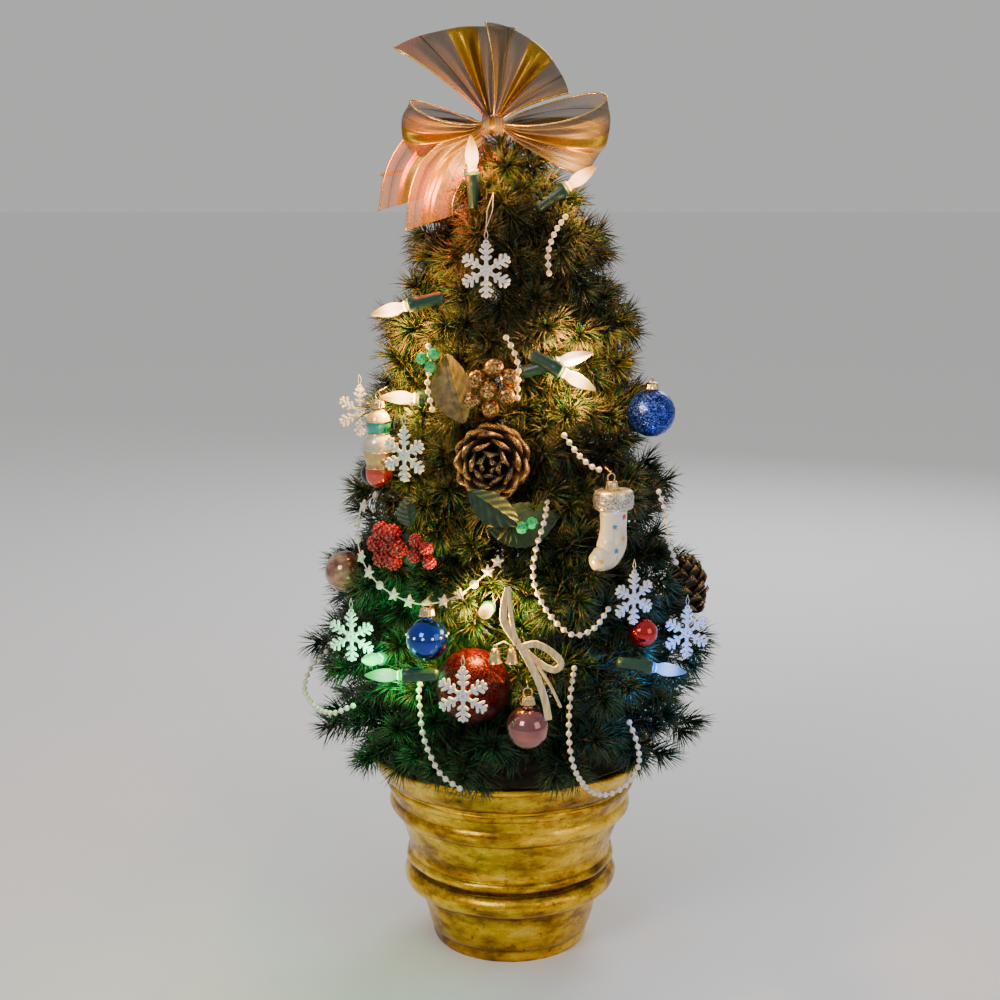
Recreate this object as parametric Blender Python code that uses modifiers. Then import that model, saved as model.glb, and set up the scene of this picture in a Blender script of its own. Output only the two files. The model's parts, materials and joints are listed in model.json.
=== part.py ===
"""Artificial tabletop tree: a brush tree set in a gilded urn pot, with a bow, lamps and hung ornaments.

Frame: origin at the centre of the pot's flat bottom, +Z up, the tree's front towards -Y. Metres.
"""
import math

import bmesh
import bpy
from mathutils import Matrix, Vector

# ---------------------------------------------------------------- driving dimensions
GAP = 0.0003                # clearance between pieces that touch
FRONT = -90.0               # azimuth of the tree's front, degrees from +X

POT_HEIGHT = 0.1345
POT_RIM_R = 0.0945
POT_WALL = 0.005
POT_FLOOR = 0.008
POT_FOOT_R = 0.0515
POT_WAIST_R = 0.0655        # the plain band between the two ribbed rings
POT_BASE_R = 0.0605         # the plain drum under the lower ring
UPPER_BEAD_Z = 0.1105       # heights of the ribbed rings, of the bead over each and of the waist
UPPER_RING_Z = 0.0955
WAIST_Z = 0.0740
LOWER_BEAD_Z = 0.0580
LOWER_RING_Z = 0.0445
RIBBED_RING_R = 0.0078      # radius of a ribbed ring's section
UPPER_BEAD_R = 0.0036
LOWER_BEAD_R = 0.0034
DRUM_Z = 0.0335             # top of the plain drum
FILLER_DEPTH = 0.006        # from the rim down to the plug's top
TRUNK_R = 0.0045
TRUNK_SET_DEPTH = 0.085     # length of trunk held in the plug

TREE_TOP = 0.522            # tip of the leader
LOWEST_TIPS = 0.150         # height of the lowest whorl's tips
HIGHEST_TIPS = 0.466
TIER_COUNT = 7
TREE_SPREAD = 0.135         # radius of the foliage at its widest
NEEDLE_REACH = 0.0165       # how far needles stand past a brush's core tip
BRUSH_R = 0.0062            # radius of a brush's core
STEM_R = 0.0017             # bare wire of a brush at the trunk
BRUSH_PITCH = 0.0600        # spacing of brush tips round a whorl
COLLAR_R = 0.0090           # where a whorl's wires are wound on the trunk
COLLAR_HEIGHT = 0.014
TOP_RISE = 0.044            # how far the top whorl's brushes climb from root to tip
LOW_RISE = 0.002
LEADER_LEAN = -0.010        # the leader's tip bends this far along X

BALL_R = 0.0125             # small glass balls
GLITTER_RED_R = 0.0220
GLITTER_BLUE_R = 0.0145
COPPER_R = 0.0130
NECK_HEIGHT = 0.0010
CAP_R = 0.0042
CAP_HEIGHT = 0.0050
RING_R = 0.0026
RING_WIRE_R = 0.0005
FLAKE_R = 0.0155
FLAKE_THICKNESS = 0.0022
FLAKE_DROP = 0.0240         # from the thread's top to the snowflake's centre
BOOT_HEIGHT = 0.0440
BOOT_R = 0.0095
BOOT_FLATNESS = 0.8         # depth of the boot against its width
BANDED_HEIGHT = 0.0480
BANDED_R = 0.0100
CONE_R = 0.0260
CONE_DEPTH = 0.0360
SIDE_CONE_R = 0.0170
SIDE_CONE_LENGTH = 0.0420
BELL_R = 0.0042
BELL_HEIGHT = 0.0085
BELL_TIE = 0.0040           # length of the tie over the bells
BERRY_R = 0.0052
LEAF_THICKNESS = 0.0010
LEAF_LENGTH = 0.0360
LEAF_WIDTH = 0.0200

BULB_R = 0.0034
BULB_LENGTH = 0.0220
SOCKET_R = 0.0046
SOCKET_LENGTH = 0.0220

BOW_KNOT_R = 0.0065
SATIN_THICKNESS = 0.0014
PEARL_R = 0.0019
STAR_STRING_R = 0.0015

# Foliage outline: share of the way up from the pot's rim to the leader's tip, and share of the spread.
OUTLINE = ((0.00, 0.80), (0.08, 1.00), (0.23, 0.90), (0.35, 0.785), (0.50, 0.725),
           (0.62, 0.660), (0.75, 0.640), (0.845, 0.55), (0.92, 0.40), (0.98, 0.25), (1.0, 0.15))

# azimuth of each whorl's first brush
TIER_TURNS = (-104.0, -116.6, -105.0, -122.0, -113.0, -120.0, -112.0)

SEGMENTS_POT = 30
SEGMENTS_BALL = 14
SEGMENTS_SMALL = 8

# name: azimuth, height of the hanging point, distance outside the foliage outline
HUNG = {
    "snowflake_top": (-100.0, 0.4700, -0.001),
    "snowflake_left": (-170.0, 0.3790, 0.000),
    "snowflake_mid_left": (-124.0, 0.3640, 0.013),
    "snowflake_low": (-101.0, 0.2340, 0.016),
    "snowflake_low_left": (-142.0, 0.2500, -0.002),
    "snowflake_mid_right": (-53.0, 0.2790, 0.004),
    "snowflake_right": (-29.0, 0.2480, -0.001),
    "glass_ball_blue": (-112.5, 0.2600, 0.006),
    "glass_ball_rose": (-86.0, 0.2120, 0.001),
    "boot": (-57.0, 0.3290, 0.002),
    "banded_drop": (-143.0, 0.3730, 0.000),
    "glitter_ball_blue": (-28.0, 0.3780, 0.002),
    "bells": (-92.0, 0.2385, 0.008),
}

# A flake turns freely on its thread: how far each one is turned from facing outward, in degrees.
FLAKE_TURN = {"snowflake_left": 62.0, "snowflake_low_left": 35.0, "snowflake_right": -45.0}

# name: azimuth, height, distance outside the foliage outline
FIXED = {
    "glitter_ball_red": (-101.6, 0.2060, 0.0085),
    "glass_ball_copper": (-161.0, 0.2570, 0.0120),
    "satin_bow": (-88.0, 0.2370, 0.0185),
    "pine_cone_front": (-97.0, 0.3360, 0.0120),
    "pine_cone_side": (-9.0, 0.2240, 0.0160),
    "berry_flower": (-133.0, 0.2830, 0.0013),
    "leaf_olive": (-107.0, 0.3610, 0.0000),
    "leaf_dark": (-98.0, 0.2975, -0.0130),
}
LEAF_ROLL = {"leaf_olive": 20.0, "leaf_dark": -84.0}

# name: azimuth, height of the socket's back end, distance outside the outline, heading and pitch in degrees
LAMPS = {
    "top": (-118.0, 0.4800, -0.016, -110.0, 82.0),
    "upper_left": (-119.0, 0.4310, -0.003, 180.0, -14.0),
    "upper_right": (-83.0, 0.3990, -0.002, -8.0, -28.0),
    "middle": (-97.0, 0.2500, -0.026, -97.0, 4.0),
    "green": (-108.0, 0.2185, 0.012, 172.0, -3.0),
    "blue": (-60.0, 0.2200, 0.002, 12.0, -12.0),
}
LAMP_UNDER = {"green": "glass_ball_blue"}   # this lamp lies just under that ball, whatever the ball's size
LAMP_CLEAR = 0.0010

BULB_COLOURS = {
    "top": (1.0, 0.78, 0.35), "upper_left": (1.0, 0.82, 0.5),
    "upper_right": (1.0, 0.62, 0.38), "middle": (1.0, 0.84, 0.55), "green": (0.1, 0.9, 0.45),
    "blue": (0.08, 0.3, 0.95),
}

# name: angle in the front plane, length, width, depth, offset along Y
BOW_LOOPS = {
    "bow_fan_left": (118.0, 0.0540, 0.0500, 0.0200, 0.000),
    "bow_fan_right": (60.0, 0.0460, 0.0400, 0.0200, 0.000),
    "bow_loop_right": (-6.0, 0.0560, 0.0480, 0.0240, -0.003),
    "bow_loop_left": (192.0, 0.0500, 0.0360, 0.0200, -0.003),
    "bow_tail": (236.0, 0.0660, 0.0160, 0.0080, -0.003),
}

# Points that each garland follows, chosen by hand.
GARLANDS = {
    "pearl_strand_left": (PEARL_R, (
        (-0.0530, -0.1040, 0.2080), (-0.0540, -0.1140, 0.2040), (-0.0530, -0.1220, 0.1950),
        (-0.0510, -0.1270, 0.1810), (-0.0460, -0.1300, 0.1680), (-0.0400, -0.1310, 0.1580),
        (-0.0300, -0.1300, 0.1500))),
    "pearl_strand_rim": (PEARL_R, (
        (0.0370, -0.1080, 0.2160), (0.0350, -0.1190, 0.2090), (0.0335, -0.1255, 0.1950),
        (0.0335, -0.1290, 0.1780), (0.0370, -0.1270, 0.1600), (0.0450, -0.1170, 0.1450),
        (0.0540, -0.1070, 0.1370), (0.0640, -0.1010, 0.1370), (0.0720, -0.1040, 0.1460),
        (0.0760, -0.1080, 0.1580), (0.0740, -0.1120, 0.1720), (0.0700, -0.1060, 0.1820))),
    "pearl_strand_middle": (PEARL_R, (
        (0.0210, -0.0900, 0.3120), (0.0190, -0.1010, 0.3020), (0.0140, -0.1060, 0.2860),
        (0.0130, -0.1110, 0.2690), (0.0210, -0.1160, 0.2520), (0.0350, -0.1170, 0.2390),
        (0.0480, -0.1110, 0.2410), (0.0570, -0.1010, 0.2500))),
    "pearl_strand_side": (PEARL_R, (
        (-0.1180, -0.0230, 0.2010), (-0.1270, -0.0300, 0.1930), (-0.1300, -0.0440, 0.1830),
        (-0.1220, -0.0620, 0.1780), (-0.1090, -0.0800, 0.1790), (-0.0950, -0.0900, 0.1870))),
    "star_garland": (STAR_STRING_R, (
        (-0.0830, -0.0480, 0.3080), (-0.0910, -0.0560, 0.3010), (-0.0930, -0.0640, 0.2880),
        (-0.0890, -0.0730, 0.2720), (-0.0770, -0.0840, 0.2590), (-0.0560, -0.0960, 0.2520),
        (-0.0360, -0.1010, 0.2560), (-0.0220, -0.1060, 0.2660), (-0.0130, -0.1030, 0.2740),
        (-0.0080, -0.0950, 0.2770))),
}

PARTS = "artificial_tabletop_tree"
CUTTERS = "cutters"


# ---------------------------------------------------------------- scene helpers
def clear_scene():
    for old in list(bpy.data.objects):
        bpy.data.objects.remove(old, do_unlink=True)


def collection(name):
    made = bpy.data.collections.new(name)
    bpy.context.scene.collection.children.link(made)
    return made


def material(name, colour, roughness, metallic=0.0):
    made = bpy.data.materials.new(name)
    made.use_nodes = True
    shader = made.node_tree.nodes["Principled BSDF"]
    shader.inputs["Base Color"].default_value = (*colour, 1.0)
    shader.inputs["Roughness"].default_value = roughness
    shader.inputs["Metallic"].default_value = metallic
    return made


def add(name, mesh, paint=None, parent=None, place=None, where=PARTS):
    made = bpy.data.objects.new(name, mesh)
    bpy.data.collections[where].objects.link(made)
    if paint is not None:
        mesh.materials.append(paint)
    if parent is not None:
        made.parent = parent
    if place is not None:
        made.matrix_local = place
    if where == CUTTERS:
        made.hide_render = True
        made.display_type = "WIRE"
    return made


def empty(name, place):
    made = bpy.data.objects.new(name, None)
    bpy.data.collections[PARTS].objects.link(made)
    made.matrix_world = place
    return made


def finish_mesh(work, name, smooth=True):
    mesh = bpy.data.meshes.new(name)
    work.to_mesh(mesh)
    work.free()
    if smooth:
        mesh.shade_smooth()
        mesh.set_sharp_from_angle(angle=math.radians(40))
    return mesh


def join(target, cutter):
    """Union the cutter into the target."""
    union = target.modifiers.new("join_" + cutter.name, "BOOLEAN")
    union.operation = "UNION"
    union.object = cutter


# ---------------------------------------------------------------- shape helpers
def turned(name, profile, segments, closed=False):
    """A mesh object turned about Z; the profile's outer side runs from top to bottom."""
    mesh = bpy.data.meshes.new(name)
    edges = [(i, i + 1) for i in range(len(profile) - 1)]
    if closed:
        edges.append((len(profile) - 1, 0))
    mesh.from_pydata([(r, 0.0, z) for r, z in profile], edges, [])
    made = bpy.data.objects.new(name, mesh)
    screw = made.modifiers.new("turn", "SCREW")
    screw.steps = segments
    screw.render_steps = segments
    screw.use_merge_vertices = True
    screw.merge_threshold = 0.0001
    screw.use_smooth_shade = True
    return made


def turned_mesh(name, profile, segments, closed=False):
    """The same shape as a plain mesh."""
    scratch = turned(name, profile, segments, closed)
    bpy.context.scene.collection.objects.link(scratch)
    bpy.context.view_layer.update()
    seen = scratch.evaluated_get(bpy.context.evaluated_depsgraph_get())
    mesh = bpy.data.meshes.new_from_object(seen)
    bpy.data.objects.remove(scratch)
    return mesh


def arc(centre_r, centre_z, radius, first, last, steps):
    """Points on an arc of a profile, from one angle to the other in degrees."""
    turns = [math.radians(first + (last - first) * i / steps) for i in range(steps + 1)]
    return [(centre_r + radius * math.cos(a), centre_z + radius * math.sin(a)) for a in turns]


def ball_profile(radius, steps):
    points = arc(0.0, 0.0, radius, 90, -90, steps)
    points[0] = (0.0, radius)
    points[-1] = (0.0, -radius)
    return points


def tube_mesh(name, routes, sides_level):
    """One mesh of capped tubes, each a route of (point, radius), welded shut."""
    curve = bpy.data.curves.new(name, "CURVE")
    curve.dimensions = "3D"
    curve.bevel_depth = 1.0
    curve.bevel_resolution = sides_level
    curve.use_fill_caps = True
    for route in routes:
        spline = curve.splines.new("POLY")
        spline.points.add(len(route) - 1)
        for knot, (place, radius) in zip(spline.points, route):
            knot.co = (*place, 1.0)
            knot.radius = radius
    scratch = bpy.data.objects.new(name, curve)
    bpy.context.scene.collection.objects.link(scratch)
    bpy.context.view_layer.update()
    seen = scratch.evaluated_get(bpy.context.evaluated_depsgraph_get())
    mesh = bpy.data.meshes.new_from_object(seen)
    bpy.data.objects.remove(scratch)
    work = bmesh.new()
    work.from_mesh(mesh)
    bmesh.ops.remove_doubles(work, verts=work.verts[:], dist=0.00001)
    work.to_mesh(mesh)
    work.free()
    mesh.shade_smooth()
    return mesh


def smooth_route(points, spacing):
    """A Catmull-Rom curve through the points, read at an even spacing."""
    path = [Vector(p) for p in points]
    path = [path[0] * 2 - path[1]] + path + [path[-1] * 2 - path[-2]]
    fine = []
    for a, b, c, d in zip(path, path[1:], path[2:], path[3:]):
        for i in range(20):
            t = i / 20
            fine.append(0.5 * (2 * b + (c - a) * t + (2 * a - 5 * b + 4 * c - d) * t ** 2
                               + (3 * b - a - 3 * c + d) * t ** 3))
    fine.append(path[-2])
    length = sum((q - p).length for p, q in zip(fine, fine[1:]))
    count = max(2, round(length / spacing))
    step = length / count
    even, walked, due = [fine[0]], 0.0, step
    for p, q in zip(fine, fine[1:]):
        piece = (q - p).length
        while walked + piece >= due and len(even) < count:
            even.append(p.lerp(q, (due - walked) / piece))
            due += step
        walked += piece
    even.append(fine[-1])
    return even


def outline_radius(height):
    """Radius of the foliage's outline at a height."""
    base = POT_HEIGHT
    share = min(max((height - base) / (TREE_TOP - base), 0.0), 1.0)
    for (low, wide), (high, narrow) in zip(OUTLINE, OUTLINE[1:]):
        if share <= high:
            return TREE_SPREAD * (wide + (narrow - wide) * (share - low) / (high - low))
    return TREE_SPREAD * OUTLINE[-1][1]


def outline_over(low, high):
    """The outline's largest radius between two heights."""
    return max(outline_radius(low + (high - low) * i / 8) for i in range(9))


def facing(azimuth, radius, height):
    """Local -Y looks out of the tree at that azimuth, local X runs along the foliage."""
    turn = math.radians(azimuth)
    place = Vector((radius * math.cos(turn), radius * math.sin(turn), height))
    return Matrix.Translation(place) @ Matrix.Rotation(turn - math.radians(FRONT), 4, "Z")


def fixed_place(name, inset=0.0, taller=0.0):
    """Where a fixed trimming sits, inset from the outline, which is read higher if it is taller."""
    azimuth, height, proud = FIXED[name]
    return facing(azimuth, outline_radius(height + taller) + proud - inset, height)


def hanging_place(name, length):
    """Where the hung piece's thread or ring starts, clear of the brushes down its whole length."""
    azimuth, height, proud = HUNG[name]
    return facing(azimuth, outline_over(height - length, height) + proud, height)


# ---------------------------------------------------------------- pot, plug, trunk
def pot_outside():
    """The pot's outer side from the rim down: flare, ribbed ring, waist, ribbed ring, drum, foot."""
    lip = arc(POT_RIM_R - 0.0025, POT_HEIGHT - 0.0025, 0.0025, 90, -60, 3)
    flare = [(POT_RIM_R - 0.0036, POT_HEIGHT - 0.0100), (POT_RIM_R - 0.0082, POT_HEIGHT - 0.0180)]
    upper_small = arc(POT_WAIST_R + 0.0135, UPPER_BEAD_Z, UPPER_BEAD_R, 60, -70, 2)
    upper_big = arc(POT_WAIST_R + 0.0065, UPPER_RING_Z, RIBBED_RING_R, 70, -72, 4)
    waist = [(POT_WAIST_R + 0.0014, WAIST_Z + 0.0095), (POT_WAIST_R, WAIST_Z),
             (POT_WAIST_R + 0.0012, WAIST_Z - 0.0100)]
    lower_small = arc(POT_BASE_R + 0.0052, LOWER_BEAD_Z, LOWER_BEAD_R, 70, -72, 2)
    lower_big = arc(POT_BASE_R + 0.0022, LOWER_RING_Z, RIBBED_RING_R, 68, -76, 4)
    drum = [(POT_BASE_R - 0.0012, DRUM_Z), (POT_BASE_R - 0.0044, DRUM_Z * 0.6),
            (POT_FOOT_R + 0.0022, 0.0085)]
    foot = [(POT_FOOT_R + 0.0002, 0.0065), (POT_FOOT_R + 0.0002, 0.0030), (POT_FOOT_R - 0.0010, 0.0)]
    return lip + flare + upper_small + upper_big + waist + lower_small + lower_big + drum + foot


def pot_inside_radius(height):
    """Inner wall, read at a height: a plain taper inside the rings."""
    low, high = POT_FLOOR, POT_HEIGHT
    bottom, top = POT_FOOT_R - POT_WALL, POT_RIM_R - POT_WALL - 0.0040
    return bottom + (top - bottom) * ((height - low) / (high - low)) ** 1.25


def inside_wall(low, high, steps):
    heights = [low + (high - low) * i / steps for i in range(steps + 1)]
    return [(pot_inside_radius(z), z) for z in heights]


def make_pot():
    inner = inside_wall(POT_FLOOR, POT_HEIGHT, 4)
    profile = [(0.0, POT_FLOOR)] + inner + pot_outside() + [(0.0, 0.0)]
    pot = turned("pot", profile, SEGMENTS_POT)
    bpy.data.collections[PARTS].objects.link(pot)
    pot.data.materials.append(material("gold_leaf", (0.55, 0.34, 0.07), 0.32, 1.0))


def make_filler():
    top = POT_HEIGHT - FILLER_DEPTH
    low = POT_FLOOR + GAP
    wall = [(r - 2 * GAP, z) for r, z in reversed(inside_wall(low, top, 4))]
    hole = TRUNK_R + GAP
    foot = top - TRUNK_SET_DEPTH - GAP
    profile = [(0.0, foot), (hole, foot), (hole, top)] + wall + [(0.0, low)]
    plug = turned("pot_filler", profile, SEGMENTS_POT)
    bpy.data.collections[PARTS].objects.link(plug)
    plug.data.materials.append(material("plaster", (0.42, 0.36, 0.28), 0.9))


def trunk_span():
    low = POT_HEIGHT - FILLER_DEPTH - TRUNK_SET_DEPTH
    return low, tier(TIER_COUNT - 1)["root"] + COLLAR_HEIGHT


def make_trunk():
    low, high = trunk_span()
    profile = [(0.0, high), (TRUNK_R, high), (TRUNK_R, low), (0.0, low)]
    trunk = turned("trunk", profile, SEGMENTS_SMALL + 2)
    bpy.data.collections[PARTS].objects.link(trunk)
    trunk.data.materials.append(material("trunk_tape", (0.03, 0.09, 0.04), 0.7))


# ---------------------------------------------------------------- branches
def tier(index):
    """Sizes of a whorl: its collar's height, its tips' height and radius, and its brush count."""
    share = index / (TIER_COUNT - 1)
    tips = LOWEST_TIPS + (HIGHEST_TIPS - LOWEST_TIPS) * share
    reach = outline_radius(tips) - NEEDLE_REACH
    count = max(5, math.ceil(2 * math.pi * reach / BRUSH_PITCH))
    rise = LOW_RISE + (TOP_RISE - LOW_RISE) * share
    return {"tips": tips, "root": tips - rise, "reach": reach, "count": count}


def brush_route(sizes, azimuth):
    """A brush from the collar: bare wire, then the needle-covered core, bowed upwards on the way."""
    out = Vector((math.cos(azimuth), math.sin(azimuth), 0.0))
    start = out * (COLLAR_R - 0.003) + Vector((0, 0, sizes["root"] + COLLAR_HEIGHT / 2))
    end = out * sizes["reach"] + Vector((0, 0, sizes["tips"]))
    crown = start.lerp(end, 0.55) + Vector((0, 0, 0.010))
    shape = ((0.0, STEM_R), (0.18, STEM_R), (0.40, BRUSH_R), (0.92, BRUSH_R), (1.0, BRUSH_R * 0.4))
    route = []
    for t, radius in shape:
        place = start.lerp(crown, t).lerp(crown.lerp(end, t), t)
        route.append((place, radius))
    return route


def between_brushes(index, azimuth, radius):
    """The gap between two brushes of a whorl nearest to an azimuth, and how far out a ball fits in it."""
    sizes = tier(index)
    step = 360.0 / sizes["count"]
    gaps = [TIER_TURNS[index] + step * (i + 0.5) for i in range(sizes["count"])]
    nearest = min(gaps, key=lambda gap: abs((gap - azimuth + 180.0) % 360.0 - 180.0))
    return nearest, (radius + BRUSH_R + GAP) / math.sin(math.radians(step / 2))


def make_tier(index, paint):
    """A whorl: a collar on the trunk with its brushes united into one body."""
    sizes = tier(index)
    base = sizes["root"]
    ring = [(TRUNK_R + GAP, base + COLLAR_HEIGHT), (COLLAR_R, base + COLLAR_HEIGHT),
            (COLLAR_R, base), (TRUNK_R + GAP, base)]
    mesh = turned_mesh("collar", ring, SEGMENTS_SMALL + 4, True)
    collar = add("branch_tier_%d" % (index + 1), mesh, paint)
    step = 2 * math.pi / sizes["count"]
    first = math.radians(TIER_TURNS[index])
    routes = [brush_route(sizes, first + step * i) for i in range(sizes["count"])]
    brushes = add("brushes_%d" % (index + 1), tube_mesh("brushes", routes, 1), where=CUTTERS)
    join(collar, brushes)


def make_leader(paint):
    """The top brush, which leans a little where the bow is tied."""
    low = trunk_span()[1] + GAP
    foot = Vector((0.0, 0.0, low))
    tip = Vector((LEADER_LEAN, 0.0, TREE_TOP))
    middle = Vector((0.0, 0.0, (low + TREE_TOP) / 2))
    radii = (BRUSH_R * 0.7, BRUSH_R, BRUSH_R, BRUSH_R * 0.8, BRUSH_R * 0.5)
    route = []
    for i, radius in enumerate(radii):
        t = i / (len(radii) - 1)
        route.append((foot.lerp(middle, t).lerp(middle.lerp(tip, t), t), radius))
    add("leader", tube_mesh("leader", [route], 2), paint)


# ---------------------------------------------------------------- bow
def teardrop_mesh(name, length, width, depth):
    """A padded loop along +X: narrow at the origin, full at its far end."""
    work = bmesh.new()
    bmesh.ops.create_uvsphere(work, u_segments=10, v_segments=7, radius=1.0)
    for v in work.verts:
        along = (v.co.z + 1) / 2
        swell = 0.25 + 0.75 * along ** 0.9
        v.co = Vector((along * length, v.co.y * depth / 2 * swell, -v.co.x * width / 2 * swell))
    return finish_mesh(work, name)


def bow_centre():
    return Vector((LEADER_LEAN, -(BRUSH_R + BOW_KNOT_R + GAP), TREE_TOP + BOW_KNOT_R))


def make_bow():
    ribbon = material("sheer_ribbon", (0.62, 0.50, 0.30), 0.45)
    centre = bow_centre()
    knot = add("bow_knot", turned_mesh("bow_knot", ball_profile(BOW_KNOT_R, 6), 12), ribbon)
    knot.location = centre
    for name, (angle, length, width, depth, shift) in BOW_LOOPS.items():
        turn = Matrix.Rotation(-math.radians(angle), 4, "Y")
        start = turn @ Vector((BOW_KNOT_R + 2 * GAP, 0.0, 0.0))
        place = Matrix.Translation(centre + start + Vector((0.0, shift, 0.0))) @ turn
        add(name, teardrop_mesh(name, length, width, depth), ribbon, place=place)


# ---------------------------------------------------------------- lamps
def bulb_profile():
    """A pointed miniature bulb on its plastic base; its foot is at the origin."""
    shape = ((1.0, 0.0), (0.93, 0.30), (0.80, 0.62), (0.62, 0.90), (0.40, 1.0), (0.22, 0.92),
             (0.20, 0.74), (0.0, 0.74))
    outer = [(BULB_R * r, BULB_LENGTH * z) for z, r in shape]
    return outer + [(0.0, 0.0)]


def socket_profile():
    """A socket with a collar at its mouth and a narrower wire end; its mouth is at the origin."""
    r, deep = SOCKET_R, SOCKET_LENGTH
    return [(0.0, 0.0), (r * 0.9, 0.0), (r, -deep * 0.05), (r, -deep * 0.25), (r * 0.86, -deep * 0.30),
            (r * 0.80, -deep * 0.90), (r * 0.60, -deep), (0.0, -deep)]


def make_lamps():
    green = material("socket_green", (0.02, 0.12, 0.05), 0.45)
    for name, (azimuth, height, proud, heading, pitch) in LAMPS.items():
        if name in LAMP_UNDER:
            height = hung_low(LAMP_UNDER[name], BALL_R) - SOCKET_R - LAMP_CLEAR
        start = facing(azimuth, outline_radius(height) + proud, height).translation
        turn = (Matrix.Rotation(math.radians(heading), 4, "Z")
                @ Matrix.Rotation(math.radians(90 - pitch), 4, "Y"))
        mouth = start + turn @ Vector((0.0, 0.0, SOCKET_LENGTH))
        place = Matrix.Translation(mouth) @ turn
        add("socket_" + name, turned_mesh("socket", socket_profile(), SEGMENTS_SMALL), green, place=place)
        glass = material("bulb_" + name, BULB_COLOURS[name], 0.08)
        seat = place @ Matrix.Translation((0.0, 0.0, GAP))
        add("bulb_" + name, turned_mesh("bulb", bulb_profile(), SEGMENTS_SMALL), glass, place=seat)


# ---------------------------------------------------------------- hung ornaments
def ring_mesh(name, radius, wire_r):
    """A wire ring standing in the XZ plane, its centre at the origin."""
    scratch = turned_mesh(name, arc(radius, 0.0, wire_r, 90, -180, 3), 8, closed=True)
    scratch.transform(Matrix.Rotation(math.radians(90), 4, "X"))
    return scratch


def make_cap(name, hanger, paint, lowered):
    """A crimped cap with its wire ring, hung by the ring; lowered is the ring's centre under the hinge."""
    r, deep = CAP_R, CAP_HEIGHT
    profile = [(0.0, deep), (r * 0.55, deep), (r * 0.9, deep * 0.82), (r, deep * 0.6), (r * 1.06, 0.0),
               (0.0, 0.0)]
    foot = -(lowered + RING_R * 0.8 + deep)
    cap = add(name, turned_mesh(name, profile, SEGMENTS_SMALL + 2), paint, hanger,
              Matrix.Translation((0.0, 0.0, foot)))
    ring = add(name + "_ring", ring_mesh(name + "_ring", RING_R, RING_WIRE_R), None, hanger,
               Matrix.Translation((0.0, 0.0, -lowered)), CUTTERS)
    join(cap, ring)
    return foot


def hung_low(name, radius):
    """Height of the lowest point of a capped ball on its hanger."""
    return HUNG[name][1] - 1.8 * RING_R - CAP_HEIGHT - GAP - NECK_HEIGHT - 2 * radius


def hung(name, length):
    return empty("hang_" + name, hanging_place(name, length))


def make_glass_ball(name, paint, cap_paint):
    """A glass ball with a cap and ring; the ball's neck meets the cap."""
    hanger = hung(name, 2 * BALL_R + CAP_HEIGHT + 2 * RING_R)
    top = make_cap(name + "_cap", hanger, cap_paint, RING_R)
    neck = CAP_R * 0.8
    shoulder = math.degrees(math.acos(neck / BALL_R))
    body = arc(0.0, 0.0, BALL_R, shoulder, -90, 7)
    body[-1] = (0.0, -BALL_R)
    profile = [(0.0, BALL_R + NECK_HEIGHT), (neck, BALL_R + NECK_HEIGHT)] + body
    drop = top - GAP - BALL_R - NECK_HEIGHT
    add(name, turned_mesh(name, profile, SEGMENTS_BALL), paint, hanger, Matrix.Translation((0.0, 0.0, drop)))


def flake_outline(radius):
    """Outline of a six-armed snowflake: each arm has one pair of side branches and a blunt tip."""
    arm = ((0.20, 0.085), (0.46, 0.075), (0.60, 0.26), (0.74, 0.20), (0.66, 0.075), (0.98, 0.075))
    points = []
    for i in range(6):
        turn = math.radians(60 * i + 90)
        side = [(x, -y) for x, y in arm] + [(x, y) for x, y in reversed(arm)]
        for x, y in side:
            points.append((radius * (x * math.cos(turn) - y * math.sin(turn)),
                           radius * (x * math.sin(turn) + y * math.cos(turn))))
    return points


def plate_mesh(name, outline, thickness):
    """A flat plate standing in the XZ plane, from a filled 2D outline."""
    curve = bpy.data.curves.new(name, "CURVE")
    curve.dimensions = "2D"
    curve.fill_mode = "BOTH"
    curve.extrude = thickness / 2
    spline = curve.splines.new("POLY")
    spline.points.add(len(outline) - 1)
    for knot, (x, y) in zip(spline.points, outline):
        knot.co = (x, y, 0.0, 1.0)
    spline.use_cyclic_u = True
    scratch = bpy.data.objects.new(name, curve)
    bpy.context.scene.collection.objects.link(scratch)
    bpy.context.view_layer.update()
    seen = scratch.evaluated_get(bpy.context.evaluated_depsgraph_get())
    mesh = bpy.data.meshes.new_from_object(seen)
    bpy.data.objects.remove(scratch)
    work = bmesh.new()
    work.from_mesh(mesh)
    bmesh.ops.remove_doubles(work, verts=work.verts[:], dist=0.00001)
    upright = Matrix.Rotation(math.radians(90), 3, "X")
    bmesh.ops.rotate(work, cent=(0, 0, 0), matrix=upright, verts=work.verts[:])
    return finish_mesh(work, name, smooth=False)


def make_snowflakes():
    frost = material("frosted_white", (0.9, 0.92, 0.95), 0.5)
    for name in [n for n in HUNG if n.startswith("snowflake")]:
        hanger = hung(name, FLAKE_DROP + FLAKE_R)
        turn = Matrix.Rotation(math.radians(FLAKE_TURN.get(name, 0.0)), 4, "Z")
        add(name, plate_mesh(name, flake_outline(FLAKE_R), FLAKE_THICKNESS), frost, hanger,
            Matrix.Translation((0.0, 0.0, -FLAKE_DROP)) @ turn)


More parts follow.
